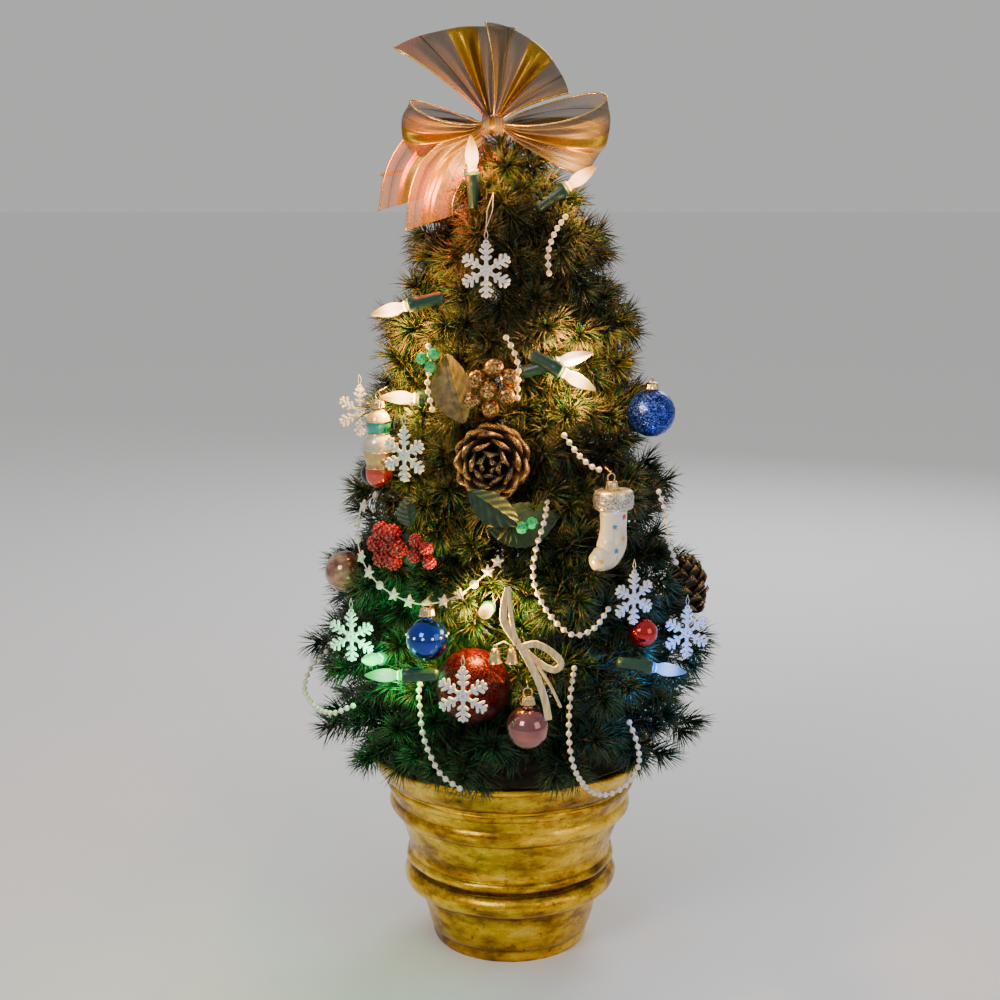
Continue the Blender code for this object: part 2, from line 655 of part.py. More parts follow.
def make_boot(gold):
    """A glass boot: a leg, a heel and a toe swept along one bent line, with a cuff round its top."""
    hanger = hung("boot", BOOT_HEIGHT + CAP_HEIGHT + 2 * RING_R)
    top = make_cap("boot_cap", hanger, gold, RING_R) - GAP
    tall, r = BOOT_HEIGHT, BOOT_R
    spine = ((0.0, 0.0, 0.45), (0.0, 0.05, 1.0), (0.0, 0.24, 1.06), (0.0, 0.30, 0.84), (0.0, 0.52, 0.80),
             (-0.02, 0.74, 0.92), (-0.10, 0.88, 0.86), (-0.24, 0.93, 0.70), (-0.36, 0.95, 0.42))
    route = [(Vector((x * tall, 0.0, -z * tall)), r * share) for x, z, share in spine]
    mesh = tube_mesh("boot", [route], 3)
    mesh.transform(Matrix.Diagonal((1.0, BOOT_FLATNESS, 1.0, 1.0)))
    add("boot", mesh, material("pearl_glass", (0.86, 0.84, 0.76), 0.2), hanger,
        Matrix.Translation((0.002, 0.0, top)))


def make_banded_drop(gold):
    """A tall banded glass ornament: bulges and waists down one turned profile."""
    hanger = hung("banded_drop", BANDED_HEIGHT + CAP_HEIGHT + 2 * RING_R)
    top = make_cap("banded_drop_cap", hanger, gold, RING_R) - GAP
    tall, r = BANDED_HEIGHT, BANDED_R
    shape = ((0.0, 0.34), (0.03, 0.42), (0.10, 0.72), (0.22, 0.80), (0.30, 0.66), (0.38, 0.90), (0.50, 1.0),
             (0.62, 0.92), (0.70, 0.78), (0.80, 0.86), (0.90, 0.80), (0.97, 0.50))
    profile = [(0.0, 0.0)] + [(r * share, -tall * z) for z, share in shape] + [(0.0, -tall)]
    add("banded_drop", turned_mesh("banded_drop", profile, SEGMENTS_BALL - 4),
        material("banded_glass", (0.75, 0.55, 0.30), 0.15), hanger, Matrix.Translation((0.0, 0.0, top)))


def make_glitter_balls():
    """The blue one hangs and swings; the large red and the coppery one are wired fast between brushes."""
    hanger = hung("glitter_ball_blue", 2 * GLITTER_BLUE_R + CAP_HEIGHT)
    drop = -(CAP_HEIGHT + GLITTER_BLUE_R)
    add("glitter_ball_blue", turned_mesh("ball", ball_profile(GLITTER_BLUE_R, 8), SEGMENTS_BALL),
        material("glitter_blue", (0.02, 0.06, 0.45), 0.4, 0.6), hanger, Matrix.Translation((0.0, 0.0, drop)))
    near, height, proud = FIXED["glitter_ball_red"]
    azimuth, radius = between_brushes(1, near, GLITTER_RED_R)
    sunk = outline_radius(height) - GLITTER_RED_R + proud
    red = facing(azimuth, max(radius, sunk), height)
    add("glitter_ball_red", turned_mesh("ball", ball_profile(GLITTER_RED_R, 8), SEGMENTS_BALL + 2),
        material("glitter_red", (0.28, 0.01, 0.02), 0.4, 0.6), place=red)
    add("glass_ball_copper", turned_mesh("ball", ball_profile(COPPER_R, 8), SEGMENTS_BALL),
        material("copper_glass", (0.35, 0.18, 0.12), 0.15), place=fixed_place("glass_ball_copper", COPPER_R))


def make_bells(gold):
    """Two bells on one tie, side by side, which swing together."""
    hanger = hung("bells", 2 * BELL_HEIGHT)
    r, tall = BELL_R, BELL_HEIGHT
    profile = [(0.0, 0.0), (r * 0.35, 0.0), (r * 0.62, -tall * 0.12), (r * 0.72, -tall * 0.55),
               (r, -tall * 0.92), (r * 0.96, -tall), (0.0, -tall)]
    for name, side in (("bell_left", -1), ("bell_right", 1)):
        place = Matrix.Translation((side * (BELL_R + 2 * GAP), 0.0, -BELL_TIE))
        add(name, turned_mesh(name, profile, SEGMENTS_SMALL + 2), gold, hanger, place)


# ---------------------------------------------------------------- fixed trimmings
def make_ribbon_bow():
    """The narrow satin bow over the bells: two loops and two tails cut from one flat outline."""
    loops = [(0.000, 0.002), (0.006, 0.008), (0.016, 0.009), (0.021, 0.003), (0.015, -0.003), (0.004, -0.002),
             (0.012, -0.022), (0.008, -0.023), (0.000, -0.003), (-0.003, -0.003), (-0.012, -0.001),
             (-0.014, 0.005), (-0.008, 0.008)]
    place = fixed_place("satin_bow")
    add("satin_bow", plate_mesh("satin_bow", loops, SATIN_THICKNESS),
        material("cream_satin", (0.85, 0.76, 0.52), 0.35), place=place)


def cone_profile(radius, length, rows):
    """A pine cone's outline with a step for each row of scales; its base is at the origin, its tip at +Z."""
    points = [(0.0, length)]
    for row in range(rows):
        share = (row + 0.5) / rows
        swell = math.sin(math.pi * (0.12 + 0.76 * share)) ** 0.8
        height = length * (1 - share)
        points.append((radius * swell * 0.80, height + length * 0.30 / rows))
        points.append((radius * swell, height - length * 0.12 / rows))
    return points + [(radius * 0.30, 0.0), (0.0, 0.0)]


def make_pine_cones():
    brown = material("cone_brown", (0.16, 0.08, 0.04), 0.8)
    lean = Matrix.Rotation(math.radians(90), 4, "X")
    front = fixed_place("pine_cone_front", CONE_DEPTH) @ lean
    add("pine_cone_front", turned_mesh("cone", cone_profile(CONE_R, CONE_DEPTH, 4), 14), brown, place=front)
    side = fixed_place("pine_cone_side", SIDE_CONE_R, SIDE_CONE_LENGTH / 2)
    add("pine_cone_side", turned_mesh("cone", cone_profile(SIDE_CONE_R, SIDE_CONE_LENGTH, 5), 12), brown,
        place=side)


def make_berries():
    """A flower of beaded berries round one middle berry."""
    place = fixed_place("berry_flower")
    count = 6
    berry = ball_profile(BERRY_R, 4)
    flower = add("berry_flower", turned_mesh("berry", berry, SEGMENTS_SMALL),
                 material("berry_red", (0.45, 0.01, 0.02), 0.35), place=place)
    for i in range(count):
        turn = 2 * math.pi * i / count
        shift = Vector((math.cos(turn), -0.15, math.sin(turn))) * BERRY_R * 1.75
        petal = add("berry_%d" % i, turned_mesh("berry", berry, SEGMENTS_SMALL), None,
                    place=place @ Matrix.Translation(shift) @ Matrix.Rotation(0.3 + i, 4, "Y"), where=CUTTERS)
        join(flower, petal)


def leaf_outline(length, width):
    """A pointed leaf along +Y of its plate."""
    steps = 6
    half = [(width / 2 * math.sin(math.pi * i / steps) ** 0.8, length * i / steps) for i in range(1, steps)]
    return [(0.0, 0.0)] + half + [(0.0, length)] + [(-x, y) for x, y in reversed(half)]


def make_leaves():
    """Cloth leaves wired behind the cone and the berries."""
    for name, colour in (("leaf_olive", (0.30, 0.25, 0.06)), ("leaf_dark", (0.03, 0.10, 0.03))):
        place = fixed_place(name) @ Matrix.Rotation(-math.radians(LEAF_ROLL[name]), 4, "Y")
        add(name, plate_mesh(name, leaf_outline(LEAF_LENGTH, LEAF_WIDTH), LEAF_THICKNESS),
            material(name, colour, 0.5), place=place)


def make_garlands():
    cream = material("garland_cream", (0.90, 0.86, 0.76), 0.3)
    for name, (radius, points) in GARLANDS.items():
        route = [(p, radius) for p in smooth_route(points, 6.0 * radius)]
        add(name, tube_mesh(name, [route], 2), cream)


def main():
    clear_scene()
    collection(PARTS)
    collection(CUTTERS)
    make_pot()
    make_filler()
    make_trunk()
    needles = material("needle_green", (0.03, 0.10, 0.04), 0.6)
    for index in range(TIER_COUNT):
        make_tier(index, needles)
    make_leader(needles)
    make_bow()
    make_lamps()
    gold = material("cap_gold", (0.80, 0.60, 0.25), 0.25, 1.0)
    make_glass_ball("glass_ball_blue", material("glass_blue", (0.02, 0.12, 0.55), 0.08, 0.7), gold)
    make_glass_ball("glass_ball_rose", material("glass_rose", (0.80, 0.55, 0.55), 0.05, 0.9), gold)
    make_snowflakes()
    make_boot(gold)
    make_banded_drop(gold)
    make_glitter_balls()
    make_bells(gold)
    make_ribbon_bow()
    make_pine_cones()
    make_berries()
    make_leaves()
    make_garlands()


main()
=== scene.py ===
"""Looks for the artificial tabletop tree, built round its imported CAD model.

Everything is in metres in the CAD's frame: +Z up, the tree's front towards -Y. Tables inside mm() are in millimetres.
"""
import json
import math

import bpy
import numpy as np
from mathutils import Matrix, Vector
from mathutils.bvhtree import BVHTree


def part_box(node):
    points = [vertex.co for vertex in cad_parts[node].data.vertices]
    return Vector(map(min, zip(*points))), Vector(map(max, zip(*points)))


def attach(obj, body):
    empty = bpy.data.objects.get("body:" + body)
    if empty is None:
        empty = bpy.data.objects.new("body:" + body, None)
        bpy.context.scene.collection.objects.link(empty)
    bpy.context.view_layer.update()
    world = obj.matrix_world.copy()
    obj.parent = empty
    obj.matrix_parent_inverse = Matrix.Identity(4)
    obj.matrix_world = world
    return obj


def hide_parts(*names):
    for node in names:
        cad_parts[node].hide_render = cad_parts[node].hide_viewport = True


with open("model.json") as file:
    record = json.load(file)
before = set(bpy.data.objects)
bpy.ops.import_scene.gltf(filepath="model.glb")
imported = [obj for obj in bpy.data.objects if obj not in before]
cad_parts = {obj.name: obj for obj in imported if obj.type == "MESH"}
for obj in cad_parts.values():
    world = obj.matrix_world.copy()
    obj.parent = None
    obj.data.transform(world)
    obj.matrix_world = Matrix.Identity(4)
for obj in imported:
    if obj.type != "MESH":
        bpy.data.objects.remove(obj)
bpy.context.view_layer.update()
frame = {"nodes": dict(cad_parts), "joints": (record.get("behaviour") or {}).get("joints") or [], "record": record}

ROOT = "tree"
TIERS = ["branch_tier_%d" % (i + 1) for i in range(7)]
JOINTS = {joint["name"]: joint for joint in frame["joints"]}
RANDOM_SEED = 24
GOLDEN_ANGLE = math.radians(137.508)
UP = Vector((0.0, 0.0, 1.0))
at = Matrix.Translation


def mm(value):
    """Millimetres to metres, in a number or in any nest of tuples."""
    return tuple(mm(v) for v in value) if isinstance(value, tuple) else value / 1000


# ---------------------------------------------------------------- meshes and objects
def put(made, body=ROOT, stands_for=(), slot=None):
    """Make a piece ride on a body and stand for CAD nodes; the slot is not used."""
    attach(made, body)
    if stands_for:
        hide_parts(*stands_for)
    return made


def link(name, data, paint=None):
    made = bpy.data.objects.new(name, data)
    bpy.context.scene.collection.objects.link(made)
    if paint is not None:
        data.materials.append(paint)
    return made


def mesh_object(name, points, faces, paint=None, smooth=True):
    mesh = bpy.data.meshes.new(name)
    mesh.from_pydata([tuple(p) for p in points], [], [tuple(f) for f in faces])
    if smooth:
        mesh.shade_smooth()
    return link(name, mesh, paint)


def float_layer(made, name, values):
    layer = made.data.attributes.new(name, "FLOAT", "POINT")
    layer.data.foreach_set("value", np.asarray(values, np.float32))


def turned_points(profile, segments):
    """Points and faces of a profile turned about Z; a profile's end on the axis is one point."""
    points, faces, rings = [], [], []
    for r, z in profile:
        count = 1 if r < 1e-7 else segments
        rings.append(list(range(len(points), len(points) + count)))
        for i in range(count):
            turn = 2 * math.pi * i / segments
            points.append((r * math.cos(turn), r * math.sin(turn), z) if count > 1 else (0.0, 0.0, z))
    for upper, lower in zip(rings, rings[1:]):
        for i in range(segments):
            j = (i + 1) % segments
            if len(upper) == 1:
                faces.append((upper[0], lower[i], lower[j]))
            elif len(lower) == 1:
                faces.append((upper[i], lower[0], upper[j]))
            else:
                faces.append((upper[i], lower[i], lower[j], upper[j]))
    return points, faces


def placed(shape, place):
    points, faces = shape
    return [place @ Vector(p) for p in points], faces


def joined(name, shapes, paint=None, smooth=True):
    """One mesh object from several (points, faces) shapes."""
    points, faces = [], []
    for more_points, more_faces in shapes:
        start = len(points)
        points += [tuple(p) for p in more_points]
        faces += [tuple(i + start for i in face) for face in more_faces]
    return mesh_object(name, points, faces, paint, smooth)


def arc(centre_r, centre_z, radius, first, last, steps):
    turns = [math.radians(first + (last - first) * i / steps) for i in range(steps + 1)]
    return [(centre_r + radius * math.cos(a), centre_z + radius * math.sin(a)) for a in turns]


def ball_shape(radius, segments, steps):
    profile = arc(0.0, 0.0, radius, 90, -90, steps)
    profile[0], profile[-1] = (0.0, radius), (0.0, -radius)
    return turned_points(profile, segments)


def chaikin(points, passes):
    """Cut a profile's corners, keeping its ends."""
    for _ in range(passes):
        cut = [points[0]]
        for (ar, az), (br, bz) in zip(points, points[1:]):
            cut += [(0.75 * ar + 0.25 * br, 0.75 * az + 0.25 * bz), (0.25 * ar + 0.75 * br, 0.25 * az + 0.75 * bz)]
        points = cut + [points[-1]]
    return points


def wire(name, points, radius, paint):
    """A round wire along the points, as a curve."""
    curve = bpy.data.curves.new(name, "CURVE")
    curve.dimensions = "3D"
    curve.bevel_depth, curve.bevel_resolution, curve.use_fill_caps = radius, 2, True
    spline = curve.splines.new("POLY")
    spline.points.add(len(points) - 1)
    for knot, place in zip(spline.points, points):
        knot.co = (*place, 1.0)
    return link(name, curve, paint)


def tube_faces(rings, sides):
    """Faces along rings of points that follow each other, and both end caps."""
    faces = []
    for i in range(rings - 1):
        for k in range(sides):
            j = (k + 1) % sides
            faces.append((i * sides + k, i * sides + j, (i + 1) * sides + j, (i + 1) * sides + k))
    return faces + [tuple(range(sides - 1, -1, -1)), tuple(range((rings - 1) * sides, rings * sides))]


def heading_at(path, i):
    return (path[min(i + 1, len(path) - 1)] - path[max(i - 1, 0)]).normalized()


def sweep(points, radii, sides, squash=1.0):
    """A closed tube shape with its own radius at each point; one radius serves them all."""
    path, shape = [Vector(p) for p in points], []
    radii = [radii] * len(path) if isinstance(radii, float) else radii
    for i, place in enumerate(path):
        along = heading_at(path, i)
        side = along.cross(Vector((0.0, 1.0, 0.0)))
        side = side.normalized() if side.length > 1e-5 else Vector((1.0, 0.0, 0.0))
        front = side.cross(along).normalized()
        for k in range(sides):
            turn = 2 * math.pi * k / sides
            shape.append(place + side * radii[i] * math.cos(turn) + front * radii[i] * squash * math.sin(turn))
    return shape, tube_faces(len(path), sides)


def smooth_route(points, spacing):
    """A Catmull-Rom curve through the points, read at an even spacing."""
    path = [Vector(p) for p in points]
    path = [path[0] * 2 - path[1]] + path + [path[-1] * 2 - path[-2]]
    fine = []
    for a, b, c, d in zip(path, path[1:], path[2:], path[3:]):
        for i in range(20):
            t = i / 20
            fine.append(0.5 * (2 * b + (c - a) * t + (2 * a - 5 * b + 4 * c - d) * t ** 2
                               + (3 * b - a - 3 * c + d) * t ** 3))
    fine.append(path[-2])
    count = max(2, round(route_length(fine) / spacing))
    step = route_length(fine) / count
    even, walked, due = [fine[0]], 0.0, step
    for p, q in zip(fine, fine[1:]):
        piece = (q - p).length
        while walked + piece >= due and len(even) < count:
            even.append(p.lerp(q, (due - walked) / piece))
            due += step
        walked += piece
    return even + [fine[-1]]


def route_length(points):
    return sum((q - p).length for p, q in zip(points, points[1:]))


def node_points(node):
    mesh = frame["nodes"][node].data
    co = np.zeros(len(mesh.vertices) * 3, np.float32)
    mesh.vertices.foreach_get("co", co)
    return co.reshape(-1, 3).astype(float)


def box(node):
    """A node's lowest and highest corners, and its middle."""
    low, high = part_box(node)
    return low, high, (low + high) / 2


def swing(name):
    return name + "_swing"


def hinge(name):
    """A hung piece's hanging point and the direction that it faces."""
    joint = JOINTS[name + "_hinge"]
    return Vector(joint["pos_m"]), Vector(joint["axis"]).normalized()


def outward(place):
    return Vector((place.x, place.y, 0.0)).normalized()


def ray(heading, pitch):
    return Vector((math.cos(heading) * math.cos(pitch), math.sin(heading) * math.cos(pitch), math.sin(pitch)))


def facing(place, out):
    """Local -Y looks along out, local Z is up."""
    back = -Vector(out).normalized()
    side = back.cross(UP).normalized()
    return at(place) @ Matrix((side, back, side.cross(back))).transposed().to_4x4()


def pointing(place, aim):
    """Local +Z points along aim."""
    return at(place) @ Vector(aim).to_track_quat("Z", "Y").to_matrix().to_4x4()


# ---------------------------------------------------------------- material nodes
class Paint:
    """A Principled material and short calls for the nodes that feed it."""

    def __init__(self, name, **values):
        self.material = bpy.data.materials.new(name)
        self.material.use_nodes = True
        self.tree = self.material.node_tree
        self.shader = self.tree.nodes["Principled BSDF"]
        sockets = {s.name.lower(): s for s in self.shader.inputs}
        for key, value in values.items():
            self.give(sockets[key.replace("_", " ")], value)

    def give(self, socket, value):
        """Link a node's output to a socket, or set the socket's own value."""
        if isinstance(value, bpy.types.NodeSocket):
            self.tree.links.new(value, socket)
        elif socket.type == "RGBA":
            socket.default_value = (*value, 1.0)
        else:
            socket.default_value = value

    def feed(self, socket, output):
        self.give(self.shader.inputs[socket], output)

    def node(self, kind, inputs=(), **values):
        made = self.tree.nodes.new(kind)
        for key, value in values.items():
            setattr(made, key, value)
        for key, value in dict(inputs).items():
            self.give(made.inputs[key], value)
        return made

    def where(self, stretch=(1.0, 1.0, 1.0)):
        spot = self.node("ShaderNodeTexCoord").outputs["Object"]
        return self.node("ShaderNodeMapping", {"Scale": stretch, "Vector": spot}).outputs["Vector"]

    def noise(self, scale, detail=4.0, roughness=0.55, stretch=(1.0, 1.0, 1.0)):
        return self.node("ShaderNodeTexNoise", {"Scale": scale, "Detail": detail, "Roughness": roughness,
                                                "Vector": self.where(stretch)}).outputs["Fac"]

    def cells(self, scale):
        return self.node("ShaderNodeTexVoronoi", {"Scale": scale, "Vector": self.where()}).outputs

    def attribute(self, name, output="Fac"):
        return self.node("ShaderNodeAttribute", attribute_name=name).outputs[output]

    def ramp(self, fac, stops):
        made = self.node("ShaderNodeValToRGB", {"Fac": fac})
        while len(made.color_ramp.elements) < len(stops):
            made.color_ramp.elements.new(0.5)
        for element, (place, colour) in zip(made.color_ramp.elements, stops):
            element.position = place
            element.color = (*(colour if isinstance(colour, tuple) else (colour,) * 3), 1.0)
        return made.outputs["Color"]

    def blend(self, fac, a, b, kind="MIX"):
        made = self.node("ShaderNodeMix", data_type="RGBA", blend_type=kind)
        for index, value in ((0, fac), (6, a), (7, b)):
            self.give(made.inputs[index], value)
        return made.outputs[2]

    def times(self, a, b):
        return self.node("ShaderNodeMath", {0: a, 1: b}, operation="MULTIPLY").outputs[0]

    def bump(self, height, strength, distance):
        inputs = {"Strength": strength, "Distance": distance, "Height": height}
        self.feed("Normal", self.node("ShaderNodeBump", inputs).outputs["Normal"])


def toned(name, low, high, noise, bump=None, rough=None, stops=(0.3, 0.7), **values):
    """A paint whose colour runs between two tones with a noise; bump and roughness may have a noise of their own."""
    p = Paint(name, **values)
    p.feed("Base Color", p.ramp(p.noise(*noise), list(zip(stops, (low, high)))))
    if rough:
        smooth, dull, scale = rough
        p.feed("Roughness", p.ramp(p.noise(scale), [(0.3, smooth), (0.7, dull)]))
    if bump:
        noise, strength, distance = bump
        p.bump(p.noise(*noise), strength, distance)
    return p.material


def darker(colour, share):
    return tuple(c * share for c in colour)


def metal(name, colour, roughness=0.22, grain=500.0):
    return toned(name, darker(colour, 0.72), colour, (grain,), ((grain * 1.4,), 0.12, 0.0003),
                 (roughness * 0.7, roughness * 1.5, grain * 0.6), metallic=1.0)


def plastic(name, colour, roughness=0.4, grain=350.0):
    return toned(name, darker(colour, 0.7), colour, (grain,), ((grain * 2,), 0.1, 0.0003),
                 (roughness * 0.8, roughness * 1.25, grain))


def mirror_glass(name, colour):
    return toned(name, darker(colour, 0.6), colour, (90.0, 3.0), None, (0.05, 0.13, 140.0), (0.35, 0.65),
                 metallic=0.92, coat_weight=0.5, coat_roughness=0.03)


def cloth_leaf(name, dark, pale):
    return toned(name, dark, pale, (260.0,), ((1600.0, 2.0), 0.3, 0.0003), roughness=0.42)


def gold_leaf():
    """Worn leaf over a warm ground: broken tone and dark specks. Painted shade darkens the grooves, which leaves the
    beads brightest.
    """
    p = Paint("gold_leaf", metallic=1.0)
    gold = p.ramp(p.noise(30.0, 9.0, 0.68, (1.0, 1.0, 2.2)), [
        (0.32, (0.085, 0.034, 0.002)), (0.43, (0.34, 0.165, 0.006)), (0.55, (0.76, 0.44, 0.016)),
        (0.70, (1.00, 0.70, 0.10))])
    specks = p.ramp(p.noise(260.0, 6.0, 0.7), [(0.30, 0.0), (0.42, 1.0)])
    # painted shade: the colour darkens where the profile sits in a groove
    groove = p.ramp(p.attribute("groove"), [(0.0, 1.0), (0.60, 0.22), (1.0, 0.06)])
    p.feed("Base Color", p.blend(1.0, p.blend(specks, (0.11, 0.045, 0.008), gold), groove, "MULTIPLY"))
    p.feed("Roughness", p.ramp(p.noise(60.0, 6.0, 0.6), [(0.3, 0.13), (0.7, 0.34)]))
    p.bump(p.noise(95.0, 8.0, 0.7, (1.0, 1.0, 1.6)), 0.35, 0.0012)
    return p.material


def ribbon_paint():
    """Sheer taupe cloth: a metallic gold band, thin dark lines and fine cross threads."""
    p = Paint("sheer_ribbon")
    across = p.attribute("across")
    edge, cloth, inner, line = (0.105, 0.078, 0.047), (0.11, 0.080, 0.047), (0.10, 0.072, 0.040), (0.030, 0.018, 0.006)
    colour = p.ramp(across, [
        (0.00, edge), (0.16, edge), (0.17, line), (0.185, cloth), (0.335, inner), (0.345, (0.30, 0.165, 0.010)),
        (0.60, (0.44, 0.25, 0.016)), (0.61, inner), (0.80, cloth), (0.81, line), (0.825, cloth), (1.00, edge)])
    cover = p.ramp(across, [
        (0.00, 0.72), (0.16, 0.72), (0.17, 0.95), (0.185, 0.70), (0.335, 0.72), (0.345, 0.97), (0.60, 0.97),
        (0.61, 0.70), (0.80, 0.72), (0.81, 0.95), (0.825, 0.70), (1.0, 0.74)])
    threads = p.ramp(p.noise(900.0, 2.0, 0.5), [(0.35, 0.75), (0.65, 1.15)])
    p.feed("Base Color", p.blend(1.0, colour, threads, "MULTIPLY"))
    for socket, plain, gold in (("Metallic", 0.1, 0.9), ("Roughness", 0.6, 0.30)):
        p.feed(socket, p.ramp(across, [(0.335, plain), (0.345, gold), (0.60, gold), (0.61, plain)]))
    p.bump(p.noise(1500.0, 2.0), 0.25, 0.0004)
    p.feed("Alpha", cover)
    return p.material


def glitter(name, colour, spark, size=1500.0):
    """Flakes stuck all over: each cell has its own tone and tilt."""
    p = Paint(name, metallic=0.75, roughness=0.28)
    grey = p.node("ShaderNodeSeparateColor", {"Color": p.cells(size)["Color"]})
    p.feed("Base Color", p.ramp(grey.outputs["Red"], [(0.15, darker(colour, 0.25)), (0.6, colour), (0.92, spark)]))
    p.bump(grey.outputs["Green"], 1.0, 0.0008)
    return p.material


def frost():
    p = Paint("frosted_white", roughness=0.45, subsurface_weight=0.15, subsurface_radius=(0.002, 0.002, 0.002))
    p.feed("Base Color", p.ramp(p.noise(1300.0, 3.0), [(0.35, (0.62, 0.66, 0.72)), (0.6, (0.93, 0.94, 0.96))]))
    p.bump(p.cells(2200.0)["Distance"], 0.8, 0.0006)
    return p.material


def lit_glass(name, colour, strength):
    """A burning lamp: hottest round the filament, cooler at the tip and the base."""
    p = Paint(name, roughness=0.12, coat_weight=0.6)
    heat = p.attribute("burn")
    pale = tuple(0.22 + 0.78 * c for c in colour)
    p.feed("Base Color", p.ramp(heat, [(0.0, colour), (1.0, pale)]))
    p.feed("Emission Color", p.ramp(heat, [(0.0, colour), (0.30, colour), (0.62, pale)]))
    p.feed("Emission Strength", p.times(heat, strength))
    return p.material


# ---------------------------------------------------------------- camera, light, floor
CAMERA_TILT = 11.0          # degrees below level
FLOOR_HALF = 40.0


def make_camera():
    data = bpy.data.cameras.new("camera")
    data.sensor_width, data.lens = 36.0, 56.9
    made = link("camera", data)
    made.location = (-0.0066, -1.0, 0.490)
    made.rotation_euler = (math.radians(90 - CAMERA_TILT), 0.0, 0.0)
    bpy.context.scene.camera = made


def light(name, kind, place, power, colour):
    data = bpy.data.lights.new(name, kind)
    data.energy, data.color = power, colour
    made = link(name, data)
    made.location = place
    return made


def area_light(name, place, size, power, colour):
    made = light(name, "AREA", place, power, colour)
    made.data.size = size
    made.rotation_euler = (Vector((0.0, 0.0, 0.28)) - Vector(place)).to_track_quat("-Z", "Y").to_euler()


def point_light(name, place, power, colour, radius):
    light(name, "POINT", place, power, colour).data.shadow_soft_size = radius


def make_studio():
    far = FLOOR_HALF
    mesh_object("floor", [(-far, -far, 0), (far, -far, 0), (far, far, 0), (-far, far, 0)], [(0, 1, 2, 3)],
                         Paint("floor_paint", base_color=(0.90, 0.90, 0.90), roughness=0.9).material)
    world = bpy.data.worlds.new("studio")
    bpy.context.scene.world = world
    world.use_nodes = True
    background = world.node_tree.nodes["Background"].inputs
    background["Color"].default_value = (1.0, 0.99, 0.98, 1.0)
    background["Strength"].default_value = 0.50
    area_light("key", (-0.9, -1.3, 1.2), 0.6, 11.0, (1.0, 0.93, 0.84))
    area_light("fill", (1.2, -0.9, 0.7), 0.8, 4.0, (1.0, 0.88, 0.72))
    area_light("back", (0.5, 1.3, 1.1), 0.8, 12.0, (0.95, 0.97, 1.0))


# ---------------------------------------------------------------- garlands
BEAD_R = 0.00175
BEAD_PITCH = 0.0052
STRING_R = 0.0004
STRING_STEP = 0.0026
STAR_R = 0.0042
STAR_PITCH = 0.0115
# The garlands' routes, as the CAD has them.
GARLANDS = {
    "pearl_strand_left": mm((
        (-53, -104, 208), (-54, -114, 204), (-53, -122, 195), (-51, -127, 181), (-46, -130, 168), (-40, -131, 158),
        (-30, -130, 150))),
    "pearl_strand_rim": mm((
        (37, -108, 216), (35, -119, 209), (33.5, -125.5, 195), (33.5, -129, 178), (37, -127, 160), (45, -117, 145),
        (54, -107, 137), (64, -101, 137), (72, -104, 146), (76, -108, 158), (74, -112, 172), (70, -106, 182))),
    "pearl_strand_middle": mm((
        (21, -90, 312), (19, -101, 302), (14, -106, 286), (13, -111, 269), (21, -116, 252), (35, -117, 239),
        (48, -111, 241), (57, -101, 250))),
    "pearl_strand_side": mm((
        (-118, -23, 201), (-127, -30, 193), (-130, -44, 183), (-122, -62, 178), (-109, -80, 179), (-95, -90, 187))),
    "star_garland": mm((
        (-83, -48, 308), (-91, -56, 301), (-93, -64, 288), (-89, -73, 272), (-77, -84, 259), (-56, -96, 252),
        (-36, -101, 256), (-22, -106, 266), (-13, -103, 274), (-8, -95, 277))),
}
# Short lengths of the bead garland that show between the needles: azimuth and height of their points.
MORE_PEARLS = {
    "pearls_upper": ((-92.0, 0.408), (-89.0, 0.400), (-87.5, 0.390), (-88.0, 0.374)),
    "pearls_left_upper": ((-123.0, 0.402), (-121.0, 0.392), (-121.5, 0.380), (-118.5, 0.366)),
    "pearls_top": ((-58.0, 0.476), (-66.0, 0.468), (-72.0, 0.456), (-73.0, 0.444)),
    "pearls_right": ((-33.0, 0.312), (-31.0, 0.298), (-32.0, 0.282), (-30.0, 0.268)),
    "pearls_boot": ((-72.0, 0.352), (-68.0, 0.342), (-63.5, 0.334), (-60.0, 0.331)),
}


def star_points(place, out, radius, arms, thickness):
    """A small flat star, or a disc when it has no arms."""
    turn = facing(place, out)
    count = 2 * arms if arms else 12
    ring = []
    for i in range(count):
        r = radius * (0.48 if arms and i % 2 else (1.0 if arms else 0.62))
        a = 2 * math.pi * i / count + math.pi / 2
        ring.append((r * math.cos(a), r * math.sin(a)))
    points = [turn @ Vector((x, y, z)) for y in (-thickness / 2, thickness / 2) for x, z in ring]
    points += [turn @ Vector((0.0, y, 0.0)) for y in (-thickness * 1.1, thickness * 1.1)]
    faces = []
    for i in range(count):
        j = (i + 1) % count
        faces += [(i, j, count + j, count + i), (2 * count, j, i), (2 * count + 1, count + i, count + j)]
    return points, faces


def star_bead(i, place):
    """Every third bead of the star garland is a disc, and each is turned a little to one side."""
    out = Vector((place.x, place.y, 0.03)).normalized() + Vector((math.sin(3.1 * i), 0, 0)) * 0.35
    return star_points(place, out, STAR_R, 5 if i % 3 else 0, 0.0014)


def pearl_route(points):
    route = []
    for azimuth, z in points:
        a, r = math.radians(azimuth), reach_at(z) + 0.001
        route.append((r * math.cos(a), r * math.sin(a), z))
    return route


